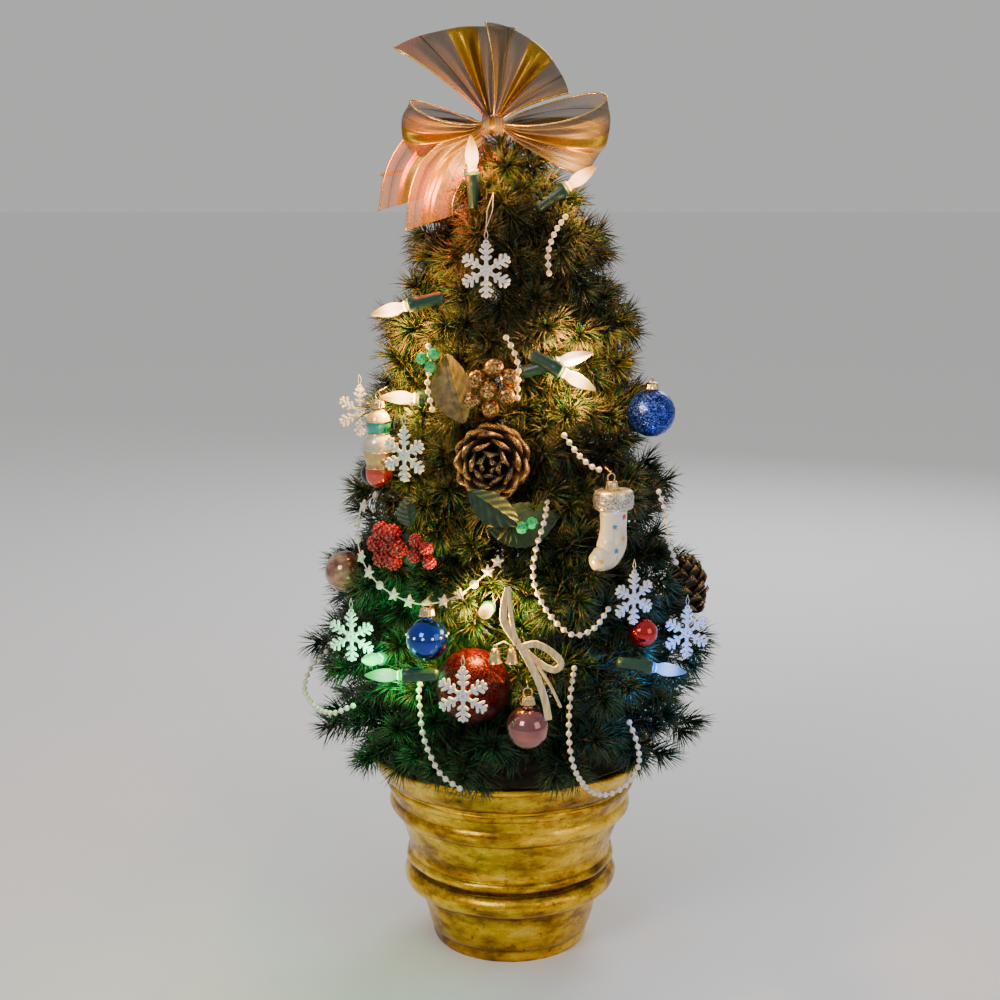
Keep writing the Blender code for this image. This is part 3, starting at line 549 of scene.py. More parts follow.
def make_garlands():
    """Bead and star strings: the string is the cord, and its beads are on it."""
    cream = toned("pearls", (0.56, 0.50, 0.40), (0.74, 0.70, 0.60), (400.0,), None, (0.22, 0.38, 700.0),
                  coat_weight=0.6, coat_roughness=0.12, sheen_weight=0.3)
    thread = plastic("thread", (0.80, 0.76, 0.66), 0.6)
    strands = [(name, points, (name,)) for name, points in GARLANDS.items()]
    strands += [(name, pearl_route(points), ()) for name, points in MORE_PEARLS.items()]
    for name, points, nodes in strands:
        stars = name == "star_garland"
        spots = smooth_route(points, STAR_PITCH if stars else BEAD_PITCH)
        shapes = [star_bead(i, spot) if stars else placed(ball_shape(BEAD_R, 14, 9), at(spot))
                  for i, spot in enumerate(spots)]
        line = smooth_route(points, STRING_STEP)
        beads = put(joined(name + "_beads", shapes, cream, not stars), slot="garland_cream")
        string = put(wire(name + "_string", line, STRING_R, thread), stands_for=nodes, slot="garland_cream")
        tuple(line[0])
        route_length(line)


# ---------------------------------------------------------------- needles
NEEDLE_LENGTH = 0.0185
NEEDLE_R = 0.00036
NEEDLES_PER_M = 3000
NEEDLE_REACH = 0.0165       # how far the needles stand past a brush's core, as the CAD has it
END_NEEDLES = 34            # the extra needles at a brush's end
CLEARANCE = 0.0015          # between a needle and an ornament anywhere in its swing
SWINGS = (-16, -12, -8, -4, 4, 8, 12, 16)
BACK_LIMIT = 0.1255         # the needles stop here at the back
POT_TOP = 0.1345
POT_LIP_R = 0.0945
# Height and radius of the foliage's outline.
FOLIAGE = ((0.130, 0.112), (0.165, 0.141), (0.225, 0.129), (0.270, 0.115), (0.330, 0.102), (0.375, 0.094),
           (0.425, 0.083), (0.462, 0.066), (0.490, 0.053), (0.515, 0.036), (0.535, 0.022))
# Side twigs of a brush: share of the way along, turn and lift in degrees, length.
TWIGS = ((0.40, 40.0, 10.0, 0.052), (0.46, -42.0, 2.0, 0.050), (0.50, 6.0, 52.0, 0.046), (0.30, -18.0, 62.0, 0.050),
         (0.66, 32.0, 22.0, 0.036), (0.70, -34.0, -14.0, 0.034), (0.58, 14.0, -38.0, 0.030),
         (0.26, 24.0, -56.0, 0.042), (0.44, -20.0, -46.0, 0.036))
LEADER_TWIGS = ((0.10, 20.0, 30.0, 0.044), (0.12, 95.0, 34.0, 0.042), (0.08, 165.0, 30.0, 0.042),
                (0.14, 235.0, 34.0, 0.044), (0.10, 305.0, 30.0, 0.046), (0.38, 60.0, 34.0, 0.036),
                (0.40, 180.0, 30.0, 0.034), (0.36, 290.0, 32.0, 0.040), (0.34, 350.0, 24.0, 0.042),
                (0.56, 20.0, 30.0, 0.030), (0.58, 130.0, 34.0, 0.028), (0.55, 235.0, 30.0, 0.028),
                (0.60, 300.0, 28.0, 0.032), (0.72, 340.0, 24.0, 0.026), (0.70, 200.0, 24.0, 0.022),
                (0.06, 250.0, 22.0, 0.050), (0.20, 262.0, 24.0, 0.048), (0.24, 276.0, 26.0, 0.044),
                (0.40, 242.0, 18.0, 0.050), (0.42, 264.0, 18.0, 0.050), (0.54, 252.0, 16.0, 0.046),
                (0.50, 232.0, 18.0, 0.044), (0.82, 30.0, 20.0, 0.024), (0.84, 150.0, 20.0, 0.022),
                (0.80, 270.0, 8.0, 0.028), (0.86, 330.0, 10.0, 0.024))


def reach_at(z):
    heights, radii = zip(*FOLIAGE)
    return np.interp(z, heights, radii)


def brush_tips(node):
    """The outer ends of a whorl's brushes, one for each run of azimuths that stands far out."""
    points = node_points(node)
    radius = np.hypot(points[:, 0], points[:, 1])
    far = points[radius > 0.86 * radius.max()]
    turns = np.degrees(np.arctan2(far[:, 1], far[:, 0])) % 360
    order = np.argsort(turns)
    turns, far = turns[order], far[order]
    groups = np.split(np.arange(len(turns)), np.flatnonzero(np.diff(turns) > 5.0) + 1)
    if len(groups) > 1 and turns[0] + 360 - turns[-1] < 5.0:
        groups[0] = np.concatenate([groups[-1], groups[0]])
        groups.pop()
    root = points[radius < 0.0095][:, 2].mean()
    tips = []
    for group in groups:
        run = far[group]
        reach = np.hypot(run[:, 0], run[:, 1])
        tip = Vector(run[reach > 0.985 * reach.max()].mean(axis=0))
        grow = max(1.0, (reach_at(tip.z) - 0.008) / math.hypot(tip.x, tip.y))
        tips.append(Vector((tip.x * grow, tip.y * grow, tip.z)))
    return root, tips


def bent(start, crown, end, steps=8):
    return [start.lerp(crown, i / steps).lerp(crown.lerp(end, i / steps), i / steps) for i in range(steps + 1)]


def twig(path, share, turn, lift, length):
    """A side twig, kept inside the foliage's outline."""
    place = share * (len(path) - 1)
    i = min(int(place), len(path) - 2)
    start = path[i].lerp(path[i + 1], place - i)
    along = path[-1] - path[0]
    aim = ray(math.atan2(along.y, along.x) + math.radians(turn), math.radians(lift))
    for shrink in (1.0, 0.85, 0.7, 0.55, 0.4):
        end = start + aim * length * shrink
        if math.hypot(end.x, end.y) < reach_at(end.z) - NEEDLE_REACH * 0.8 and end.z > POT_TOP + 0.008:
            break
    return bent(start, start.lerp(end, 0.5) + UP * 0.12 * length, end)


def whorl_paths(node, rng):
    """Main brushes and their side twigs; the first share of each main brush is bare wire."""
    root, tips = brush_tips(node)
    paths = []
    for tip in tips:
        start = outward(tip) * 0.006 + UP * root
        main = bent(start, start.lerp(tip, 0.55) + UP * 0.010, tip)
        paths.append((main, 0.22))
        for share, turn, lift, length in TWIGS:
            paths.append((twig(main, share + rng.uniform(-0.05, 0.05), turn + rng.uniform(-9, 9),
                               lift + rng.uniform(-8, 8), length * rng.uniform(0.88, 1.12)), 0.0))
    return paths


def leader_paths(rng):
    points = node_points("leader")
    low, high = points[points[:, 2].argmin()], points[points[:, 2].argmax()]
    main = bent(UP * low[2], UP * ((low[2] + high[2]) / 2), Vector(high))
    paths = [(main, 0.0)]
    for share, turn, lift, length in LEADER_TWIGS:
        start = main[round(share * (len(main) - 1))]
        heading, pitch = math.radians(turn + rng.uniform(-10, 10)), math.radians(lift)
        end = start + ray(heading, pitch) * length
        paths.append((bent(start, start.lerp(end, 0.5) + UP * 0.004, end), 0.0))
    return paths


def across(directions, helper):
    """Two unit directions square to each of the given ones, and to each other."""
    side = np.cross(directions, helper)
    side /= np.linalg.norm(side, axis=1)[:, None]
    return side, np.cross(directions, side)


def needle_sites(paths, density, rng):
    """Foot, direction and length of every needle along the paths, and how near the brush's end it is."""
    sites = []
    for path, bare in paths:
        line = np.array([tuple(p) for p in path])
        steps = np.linalg.norm(np.diff(line, axis=0), axis=1)
        walked = np.concatenate([[0.0], np.cumsum(steps)])
        total = walked[-1]
        count = int(NEEDLES_PER_M * density * total * (1 - bare)) + END_NEEDLES
        t = np.concatenate([rng.uniform(bare, 1.0, count - END_NEEDLES), rng.uniform(0.94, 1.0, END_NEEDLES)])
        spot = np.column_stack([np.interp(t * total, walked, line[:, k]) for k in range(3)])
        slot = np.clip(np.searchsorted(walked, t * total) - 1, 0, len(steps) - 1)
        tangent = (np.diff(line, axis=0) / steps[:, None])[slot]
        side, other = across(tangent, (0.31, 0.17, 0.93))
        turn = rng.uniform(0, 2 * math.pi, count)[:, None]
        spread = np.radians(rng.uniform(46, 74, count))
        late = np.clip((t - 0.90) / 0.10, 0, 1)
        spread = spread * (1 - late) + np.radians(rng.uniform(4, 62, count)) * late
        out = side * np.cos(turn) + other * np.sin(turn)
        aim = out * np.sin(spread)[:, None] + tangent * np.cos(spread)[:, None]
        sites.append((spot, aim, NEEDLE_LENGTH * rng.uniform(0.74, 1.06, count), late))
    return [np.concatenate(column) for column in zip(*sites)]


def in_the_way(feet, tips, trees):
    """True for each needle that would pierce an ornament or stand before it."""
    blocked = np.zeros(len(tips), bool)
    for i in range(len(tips)):
        foot, tip = Vector(feet[i]), Vector(tips[i])
        for share in (1.0, 0.5, 0.2, 0.75):
            point = foot.lerp(tip, share)
            near = trees["solid"].find_nearest(point, 0.010)
            if near[0] is None:
                if share == 0.5:
                    break
            elif near[3] < CLEARANCE or (point - near[0]).dot(near[1]) < 0:
                blocked[i] = True
                break
        if not blocked[i]:
            blocked[i] = trees["shown"].ray_cast(tip, -outward(tip), 0.035)[0] is not None
    return blocked


def needle_mesh(name, feet, aims, lengths, tints, rng):
    """Every needle is a slim three-sided spike with a slight bend: seven points, seven faces."""
    count = len(feet)
    side, other = across(aims, (0.2, 0.9, 0.37))
    bend = side * rng.normal(0, 0.0007, count)[:, None] + np.array([0, 0, -0.0006])
    points = np.zeros((count, 7, 3))
    for ring, (share, width) in enumerate(((0.0, 1.0), (0.55, 0.9))):
        middle = feet + aims * (lengths * share)[:, None] - bend * (share * 0.6)
        for k in range(3):
            turn = 2 * math.pi * k / 3
            points[:, ring * 3 + k] = middle + (side * math.cos(turn) + other * math.sin(turn)) * NEEDLE_R * width
    points[:, 6] = feet + aims * lengths[:, None] + bend
    pattern = [(2, 1, 0), (0, 1, 4, 3), (1, 2, 5, 4), (2, 0, 3, 5), (3, 4, 6), (4, 5, 6), (5, 3, 6)]
    corners = np.array([i for face in pattern for i in face])
    loops = (np.arange(count)[:, None] * 7 + corners).ravel()
    sizes = np.tile([len(face) for face in pattern], count)
    mesh = bpy.data.meshes.new(name)
    mesh.vertices.add(count * 7)
    mesh.vertices.foreach_set("co", points.astype(np.float32).ravel())
    mesh.loops.add(len(loops))
    mesh.loops.foreach_set("vertex_index", loops.astype(np.int32))
    mesh.polygons.add(len(sizes))
    mesh.polygons.foreach_set("loop_start", np.concatenate([[0], np.cumsum(sizes)[:-1]]).astype(np.int32))
    mesh.update(calc_edges=True)
    mesh.validate()
    mesh.shade_smooth()
    # painted shade: each needle runs from its dark foot colour to its tip colour
    foot, tip = tints
    rgba = np.ones((count * 7, 4), np.float32)
    rgba[:, :3] = np.repeat(np.stack([foot, foot * 0.65 + tip * 0.35, tip], axis=1), (3, 3, 1), axis=1).reshape(-1, 3)
    mesh.attributes.new("tint", "FLOAT_COLOR", "POINT").data.foreach_set("color", rgba.ravel())
    return mesh


def needle_tints_and_painted_light(feet, ends, rng):
    """Needle colours with painted light and shade. The deep green, near-black foot is painted shade of the brush's
    core. Some tips are brown and gold all over, and their share growing towards the top of the tree is painted warm
    lamp light. Tips away from a brush's end are darkened as painted shade.
    """
    def tone(colour, low, high):
        return np.array(colour) * rng.uniform(low, high, len(feet))[:, None]
    # painted warm lamp light: the share of brown and olive tips grows with height
    up = np.clip((feet[:, 2] - 0.17) / 0.20, 0, 1)
    # painted shade: the needles' feet, deep in the brush, are near black
    foot = tone((0.004, 0.018, 0.007), 0.6, 1.5)
    green = tone((0.018, 0.088, 0.034), 0.6, 1.5)
    brown = tone((0.150, 0.098, 0.030), 0.45, 1.25)
    olive = tone((0.080, 0.085, 0.014), 0.5, 1.3)
    draw = rng.uniform(0, 1, len(feet))
    is_brown = draw < 0.12 + 0.36 * up
    is_olive = (~is_brown) & (draw < 0.24 + 0.50 * up)
    tip = np.where(is_brown[:, None], brown, np.where(is_olive[:, None], olive, green))
    # painted shade: tips away from a brush's end are darker, and those at its end brighter
    return foot, tip * (0.75 + 0.35 * ends)[:, None]


def ornament_trees():
    """BVH trees of what hangs on the tree: at rest, and with every swing's ends as well."""
    stores = {"shown": ([], []), "solid": ([], [])}

    def keep(points, faces, names):
        for name in names:
            start = len(stores[name][0])
            stores[name][0].extend(points)
            stores[name][1].extend(tuple(i + start for i in face) for face in faces)

    moving = {node: body for body, nodes in frame["record"]["behaviour"]["bodies"].items()
              if body != ROOT for node in nodes}
    for name, node in frame["nodes"].items():
        if name in ["trunk", "pot", "pot_filler", "leader"] + TIERS:
            continue
        corners = [v.co.copy() for v in node.data.vertices]
        faces = [tuple(p.vertices) for p in node.data.polygons]
        hidden = name.startswith("socket") or name == "bulb_top"
        keep(corners, faces, ("solid",) if hidden else ("solid", "shown"))
        if name in moving:
            joint = JOINTS[moving[name].replace("_swing", "_hinge")]
            pivot, axis = Vector(joint["pos_m"]), Vector(joint["axis"])
            for turn in SWINGS:
                matrix = at(pivot) @ Matrix.Rotation(math.radians(turn), 4, axis) @ at(-pivot)
                keep([matrix @ v for v in corners], faces, ("solid",))
    for points in MORE_PEARLS.values():
        for spot in smooth_route(pearl_route(points), BEAD_PITCH):
            keep(*placed(ball_shape(BEAD_R, 8, 5), at(spot)), ("solid", "shown"))
    return {name: BVHTree.FromPolygons(*store) for name, store in stores.items()}


def make_foliage():
    rng = np.random.default_rng(RANDOM_SEED)
    green = Paint("needles", roughness=0.38, specular_ior_level=0.30)
    green.feed("Base Color", green.attribute("tint", "Color"))
    stem = toned("stem", (0.020, 0.014, 0.008), (0.05, 0.035, 0.018), (300.0,), ((900.0,), 0.6, 0.0006), roughness=0.7)
    trees = ornament_trees()
    for name in TIERS + ["leader"]:
        paths = leader_paths(rng) if name == "leader" else whorl_paths(name, rng)
        feet, aims, lengths, ends = needle_sites(paths, 1.7 if name == "leader" else 1.0, rng)
        tips = feet + aims * lengths[:, None]
        radius = np.hypot(tips[:, 0], tips[:, 1])
        keep = radius < reach_at(tips[:, 2]) * 1.05 + 0.003
        keep &= ~((tips[:, 2] < POT_TOP + 0.0015) & (radius < POT_LIP_R + 0.001))
        keep &= (tips[:, 2] > POT_TOP - 0.009) & (tips[:, 1] < BACK_LIMIT)
        keep[keep] = ~in_the_way(feet[keep], tips[keep], trees)
        tints = needle_tints_and_painted_light(feet[keep], ends[keep], rng)
        mesh = needle_mesh(name + "_needles", feet[keep], aims[keep], lengths[keep], tints, rng)
        needles = put(link(name + "_needles", mesh, green.material), stands_for=(name,), slot="needle_green")
        shapes = [sweep(path, [0.0011 - 0.0005 * i / (len(path) - 1) for i in range(len(path))], 5)
                  for path, _ in paths]
        put(joined(name + "_wires", shapes, stem), slot="needle_green").parent = needles


# ---------------------------------------------------------------- pot
POT_SEGMENTS = 160


def pot_side():
    """The outer side from the rim down: lip, flare, bead and ring, waist, bead and ring, drum, foot."""
    flare = mm(((90.9, 126.2), (89.0, 122.0), (86.2, 117.2), (82.6, 114.6)))
    waist = mm(((68.3, 86.2), (66.4, 82.5), (65.6, 74.0), (66.2, 66.0), (66.8, 63.0)))
    drum = mm(((60.0, 35.2), (58.5, 31.0), (56.1, 20.0), (54.0, 9.5)))
    foot = mm(((52.2, 8.0), (51.7, 6.2), (51.7, 3.0), (50.5, 0.0)))
    return [*arc(0.0920, 0.1320, 0.0025, 100, -62, 8), *flare,
            *arc(0.0790, 0.1105, 0.0036, 58, -70, 6), *arc(0.0720, 0.0955, 0.0078, 72, -74, 12), *waist,
            *arc(0.0657, 0.0580, 0.0034, 70, -72, 6), *arc(0.0627, 0.0445, 0.0078, 70, -76, 12), *drum, *foot]


def make_pot():
    """The gilded shell: hand-laid leaf over a form with slight dents, its grooves darkened with painted shade."""
    inside = mm(((0, 9.0), (40.0, 9.0), (46.5, 11.0), (64.0, 60.0), (80.0, 105.0), (84.8, 126.0), (86.8, 133.0),
                 (88.5, 134.3), (90.5, 134.5)))
    profile = [*inside, *chaikin(pot_side(), 1), (0.0, 0.0)]
    points, faces = turned_points(profile, POT_SEGMENTS)
    mean = np.convolve([r for r, _ in profile], np.ones(9) / 9, "same")
    # painted shade: each ring's share of groove darkening, from how far it sits in below its neighbours
    deep, dented = [], []
    for (r, z), smooth in zip(profile, mean):
        share = min(max((smooth - r) / 0.0016, 0.0), 1.0) if 0.004 < z < 0.128 else 0.0
        deep += [share] * (1 if r < 1e-7 else POT_SEGMENTS)
    for x, y, z in points:
        turn = math.atan2(y, x)
        dent = 0.00022 * (math.sin(5 * turn + 60 * z) + math.sin(9 * turn - 85 * z) + math.sin(14 * turn + 190 * z))
        grow = 1.0 + (dent / max(math.hypot(x, y), 0.01) if 0.004 < z < 0.130 else 0.0)
        dented.append((x * grow, y * grow, z))
    pot = mesh_object("pot_shell", dented, faces, gold_leaf())
    # painted shade layer read by the gold leaf
    float_layer(pot, "groove", deep)
    put(pot, stands_for=("pot",), slot="gold_leaf")


def make_plug():
    """Plaster in the pot, and the taped trunk, both with the CAD's own shape."""
    plaster = toned("plaster", (0.10, 0.07, 0.04), (0.20, 0.15, 0.09), (120.0,), ((220.0, 6.0), 0.7, 0.002),
                    roughness=0.95)
    for name, paint in (("pot_filler", plaster), ("trunk", plastic("floral_tape", (0.006, 0.016, 0.008), 0.7))):
        for spot in frame["nodes"][name].material_slots:
            spot.material = paint


# ---------------------------------------------------------------- bow
KNOT = Vector((-0.0110, -0.0130, 0.5305))
# name: angle in the front plane, length, half angle of the fan, depth, roll, skew and bend of the far edge, shift
LOOPS = {
    "bow_fan_left": (109.5, 0.0610, 33.0, 0.0150, 0.0, 0.15, -0.11, 0.003),
    "bow_fan_right": (58.0, 0.0540, 36.0, 0.0150, 0.0, 0.11, -0.02, -0.003),
    "bow_loop_right": (-7.0, 0.0700, 22.0, 0.0300, 32.0, 0.06, 0.05, -0.006),
    "bow_loop_left": (188.0, 0.0550, 25.0, 0.0260, -28.0, -0.04, 0.10, -0.006),
}
# name: route of the middle line, width, how soon it fans out, how far its corner is cut back
TAILS = {
    "bow_tail_outer": (mm(((-20, -16, 526), (-44, -20, 520), (-60, -21, 502), (-66, -18, 476))), 0.030, 2.2, 0.016),
    "bow_tail_inner": (mm(((-18, -18, 524), (-36, -26, 512), (-47, -30, 490), (-50, -31, 466))), 0.027, 2.0, 0.012),
}
GATHER = 0.006              # the length of ribbon in a loop's pinched foot
LOOP_ROWS, LOOP_COLUMNS = 60, 44
TAIL_COLUMNS = 10


def grid_faces(rows, columns):
    wide = columns + 1
    return [(i * wide + j, i * wide + j + 1, (i + 1) * wide + j + 1, (i + 1) * wide + j)
            for i in range(rows) for j in range(columns)]


def spaced(columns):
    """Places across a strip, from -1 to 1."""
    return [2 * j / columns - 1 for j in range(columns + 1)]


def ribbon(name, points, columns, cloth):
    """A strip of ribbon from its grid of points, with the layer that its stripes follow."""
    rows = len(points) // (columns + 1) - 1
    made = mesh_object(name, points, grid_faces(rows, columns), cloth)
    float_layer(made, "across", [(v + 1) / 2 for v in spaced(columns)] * (rows + 1))
    return made


def edge_wire(name, points, columns, paint):
    """The wired edges of a ribbon: fine metallic tubes down both sides."""
    shapes = []
    for j in (0, columns):
        line = points[j::columns + 1]
        shapes.append(sweep(line, [0.00048 + 0.00016 * (i % 2) for i in range(len(line))], 6))
    return put(joined(name, shapes, paint), slot="sheer_ribbon")


def loop_points(angle, length, fan, depth, roll, skew, bend, shift):
    """A loop of wired ribbon: gathered at the knot, fanned out, turned over at its far end and back."""
    a = math.radians(angle)
    axis = Vector((math.cos(a), 0.0, math.sin(a)))
    side = Matrix.Rotation(math.radians(roll), 3, axis) @ Vector((-math.sin(a), 0.0, math.cos(a)))
    through = axis.cross(side)
    points = []
    for i in range(LOOP_ROWS + 1):
        turn = 2 * math.pi * i / LOOP_ROWS
        out = (1 - math.cos(turn)) / 2
        body = depth / 2 * math.sin(turn) * out ** 0.35
        for v in spaced(LOOP_COLUMNS):
            spread = math.radians(fan) * v * (0.72 + 0.28 * out)
            reach = GATHER + (length - GATHER) * out * (1 + skew * v - bend * v * v)
            pleat = 0.0036 * math.cos(4.5 * math.pi * v + 1.3 * i / LOOP_ROWS) * (1 - out) ** 0.6 * min(1.0, out * 7)
            wave = 0.0022 * math.sin(2.6 * math.pi * v + 4.0 * i / LOOP_ROWS) * out
            point = axis * reach * math.cos(spread) + side * reach * math.sin(spread)
            points.append(KNOT + Vector((0, shift, 0)) + point + through * (body + pleat + wave))
    return points


def tail_points(path, width, flare, point):
    """A ribbon tail: a strip along a line, fanning out, cut to a point at one corner."""
    points = []
    for i, place in enumerate(path):
        share, along = i / (len(path) - 1), heading_at(path, i)
        side = along.cross(Vector((0.0, 1.0, 0.0))).normalized()
        half = width / 2 * (0.25 + 0.75 * min(1.0, share * flare))
        for v in spaced(TAIL_COLUMNS):
            fold = 0.0030 * math.cos(3.2 * math.pi * v + share * 2.0) * (1 - 0.6 * share)
            slip = point * share * share * (v + 1) / 2
            points.append(place + side * half * v + Vector((0, fold, 0)) - along * slip)
    return points


def make_bow():
    cloth, gold = ribbon_paint(), metal("ribbon_wire", (0.85, 0.55, 0.16), 0.25, 900.0)
    for name, shape in LOOPS.items():
        points = loop_points(*shape)
        loop = put(ribbon(name + "_ribbon", points, LOOP_COLUMNS, cloth), stands_for=(name,), slot="sheer_ribbon")
        edges = edge_wire(name + "_edges", points, LOOP_COLUMNS, gold)
    for name, (line, width, flare, point) in TAILS.items():
        path = smooth_route(line, 0.003)
        points = tail_points(path, width, flare, point)
        tail = ribbon(name, points, TAIL_COLUMNS, cloth)
        edges = edge_wire(name + "_edges", points, TAIL_COLUMNS, gold)
        put(tail, stands_for=("bow_tail",) if name == "bow_tail_outer" else (), slot="sheer_ribbon")
        route_length(path)
    make_knot(cloth, gold)


def make_knot(cloth, gold):
    """The pinched middle: a folded wrap of the same ribbon, and the twisted ends of its tie wire."""
    points, rows, columns = [], 40, 16
    for i in range(rows + 1):
        turn = 2 * math.pi * i / rows
        for v in spaced(columns):
            radius = 0.0046 * (1 + 0.30 * v * v) + 0.0005 * math.cos(9 * math.pi * v)
            points.append(KNOT + Vector((0.0065 * v, radius * math.cos(turn), radius * math.sin(turn) * 1.15)))
    put(ribbon("bow_knot_wrap", points, columns, cloth), stands_for=("bow_knot",), slot="sheer_ribbon")
    start, end = Vector((-0.052, -0.016, 0.505)), Vector((-0.079, -0.018, 0.5005))
    strands, turns, steps = [], 9, 60
    for phase in (0.0, math.pi):
        line = []
        for i in range(steps + 1):
            turn = 2 * math.pi * turns * i / steps + phase
            line.append(start.lerp(end, i / steps) + Vector((0.0, math.cos(turn), math.sin(turn))) * 0.0007)
        strands.append(sweep(line, 0.0006, 6))
    put(joined("bow_wire_end", strands, gold), slot="sheer_ribbon")


# ---------------------------------------------------------------- lamps
BULB_LENGTH = 0.0220
SOCKET_R = 0.0046
SOCKET_LENGTH = 0.0220
# name: colour of the glass, strength of the glass, power of its light
GLOW = {
    "top": ((1.0, 0.50, 0.06), 6.0, 0.40), "upper_left": ((1.0, 0.52, 0.07), 8.0, 0.80),
    "upper_right": ((1.0, 0.52, 0.07), 8.0, 0.80), "middle": ((1.0, 0.52, 0.07), 10.0, 1.20),
    "green": ((0.01, 0.90, 0.12), 1.7, 0.30), "blue": ((0.01, 0.22, 1.0), 1.8, 0.20),
    "top_right": ((1.0, 0.46, 0.05), 4.5, 0.35), "second_right": ((1.0, 0.48, 0.20), 5.0, 0.45),
    "left": ((1.0, 0.52, 0.07), 8.0, 0.80), "red": ((1.0, 0.05, 0.02), 5.0, 1.20),
    "teal": ((0.01, 0.70, 0.30), 1.2, 0.15),
}
# Lamps that show only as part of the string: place of the socket's mouth, heading and pitch of the bulb.
MORE_LAMPS = {
    "top_right": (mm((33, -40, 493)), 0.0, 35.0), "second_right": (mm((26, -84, 393)), 0.0, 15.0),
    "left": (mm((-56, -64, 370)), 184.0, 2.0), "red": (mm((-30, 6, 496)), 150.0, 60.0),
    "teal": (mm((-79, -85, 215)), 245.0, 12.0),
}


def cad_lamp(name):
    """A CAD lamp's place: the origin is the socket's mouth and local +Z the way that the bulb points."""
    socket, bulb = node_points("socket_" + name), node_points("bulb_" + name)
    aim = Vector(bulb.mean(axis=0) - socket.mean(axis=0)).normalized()
    middle = Vector((socket.min(axis=0) + socket.max(axis=0)) / 2)
    reach = max((Vector(p) - middle).dot(aim) for p in socket)
    return pointing(middle + aim * reach, aim)


def make_lamp(name, place, green, stands_for):
    """A push-in lamp: ribbed socket, moulded base, pointed glass and its small light."""
    r, deep = SOCKET_R, SOCKET_LENGTH
    barrel = [(0.0, -0.0002), (r * 0.80, -0.0002), (r * 0.96, -0.0010), (r, -deep * 0.08), (r, -deep * 0.22),
              (r * 0.90, -deep * 0.28), (r * 0.84, -deep * 0.34), (r * 0.80, -deep * 0.88), (r * 0.62, -deep * 0.98),
              (0.0, -deep)]
    points, faces = turned_points(barrel, 48)
    ribbed = []
    for x, y, z in points:
        grow = 1.0 - (0.05 if z < -deep * 0.30 and round(math.degrees(math.atan2(y, x)) / 7.5) % 3 == 0 else 0.0)
        ribbed.append(place @ Vector((x * grow, y * grow, z)))
    put(mesh_object(name + "_socket", ribbed, faces, green), stands_for=stands_for[:1], slot="socket_green")
    colour, strength, power = GLOW[name]
    profile = chaikin(mm(((0, 22.2), (0.8, 21.4), (1.8, 19.2), (3.0, 15.8), (3.9, 11.5), (4.0, 8.5), (3.6, 5.8),
                          (2.8, 4.4), (2.6, 2.2), (3.2, 1.6), (3.4, 0.4), (0, 0.4))), 2)
    points, faces = turned_points(profile, 36)
    glass = mesh_object(name + "_bulb", [place @ Vector(p) for p in points], faces,
                        lit_glass("lit_" + name, colour, strength))
    float_layer(glass, "burn", [math.exp(-((z / BULB_LENGTH - 0.40) / 0.33) ** 2) for _, _, z in points])
    put(glass, stands_for=stands_for[1:], slot="bulb_" + name if name in ("green", "blue") else "bulb_warm")
    glass.visible_shadow = False
    point_light(name + "_light", place @ Vector((0.0, 0.0, 0.0100)), power, colour, 0.004)


def make_lamps():
    green = plastic("socket_plastic", (0.006, 0.050, 0.034), 0.35, 300.0)
    for name in ("top", "upper_left", "upper_right", "middle", "green", "blue"):
        make_lamp(name, cad_lamp(name), green, ("socket_" + name, "bulb_" + name))
    for name, (mouth, heading, pitch) in MORE_LAMPS.items():
        make_lamp(name, pointing(mouth, ray(math.radians(heading), math.radians(pitch))), green, ())
    point_light("red_glow", (-0.052, -0.052, 0.496), 0.40, (1.0, 0.15, 0.020), 0.012)


# ---------------------------------------------------------------- hung ornaments
def ring_points(centre_at, out, radius, wire_r, sides=28):
    """A wire ring whose plane faces out."""
    turn = facing(centre_at, out)
    angles = [2 * math.pi * i / sides for i in range(sides + 1)]
    return sweep([turn @ Vector((radius * math.cos(a), 0.0, radius * math.sin(a))) for a in angles], wire_r, 8)


def crimped_cap(top, low, radius):
    """A drawn metal cap with a crimped skirt, between two heights of a hanger's own axis."""
    deep = top - low
    profile = [(0.0, deep), (radius * 0.50, deep), (radius * 0.80, deep * 0.92), (radius * 0.95, deep * 0.70),
               (radius * 0.97, deep * 0.45), (radius * 1.02, deep * 0.20), (radius * 1.10, 0.0),
               (radius * 0.95, 0.0001), (0.0, deep * 0.3)]
    points, faces = turned_points(profile, 72)
    shaped = []
    for x, y, z in points:
        crimp = 1.0 + 0.07 * math.sin(12 * math.atan2(y, x)) * (1 - z / deep)
        shaped.append(Vector((x * crimp, y * crimp, z + low)))
    return shaped, faces


def make_cap(name, gold):
    """The cap and ring over an ornament, riding its swing; returns the hanger's place."""
    pivot, out = hinge(name)
    low, high, _ = box(name + "_cap")
    ring_r = 0.0026
    top = high.z - 2 * ring_r + 0.0006
    shapes = [placed(crimped_cap(top - pivot.z, low.z - pivot.z, 0.0042), at(pivot)),
              ring_points(pivot - UP * ring_r, out, ring_r, 0.00042)]
    hook = [pivot + UP * 0.0004 + Vector((-out.x, -out.y, 0.35)).normalized() * 0.002 * i for i in range(5)]
    put(joined(name + "_crown", shapes, gold), swing(name), (name + "_cap",), "cap_gold")
    put(joined(name + "_hook", [sweep(hook, 0.0004, 6)], gold), ROOT, (), "cap_gold")
    return pivot, out


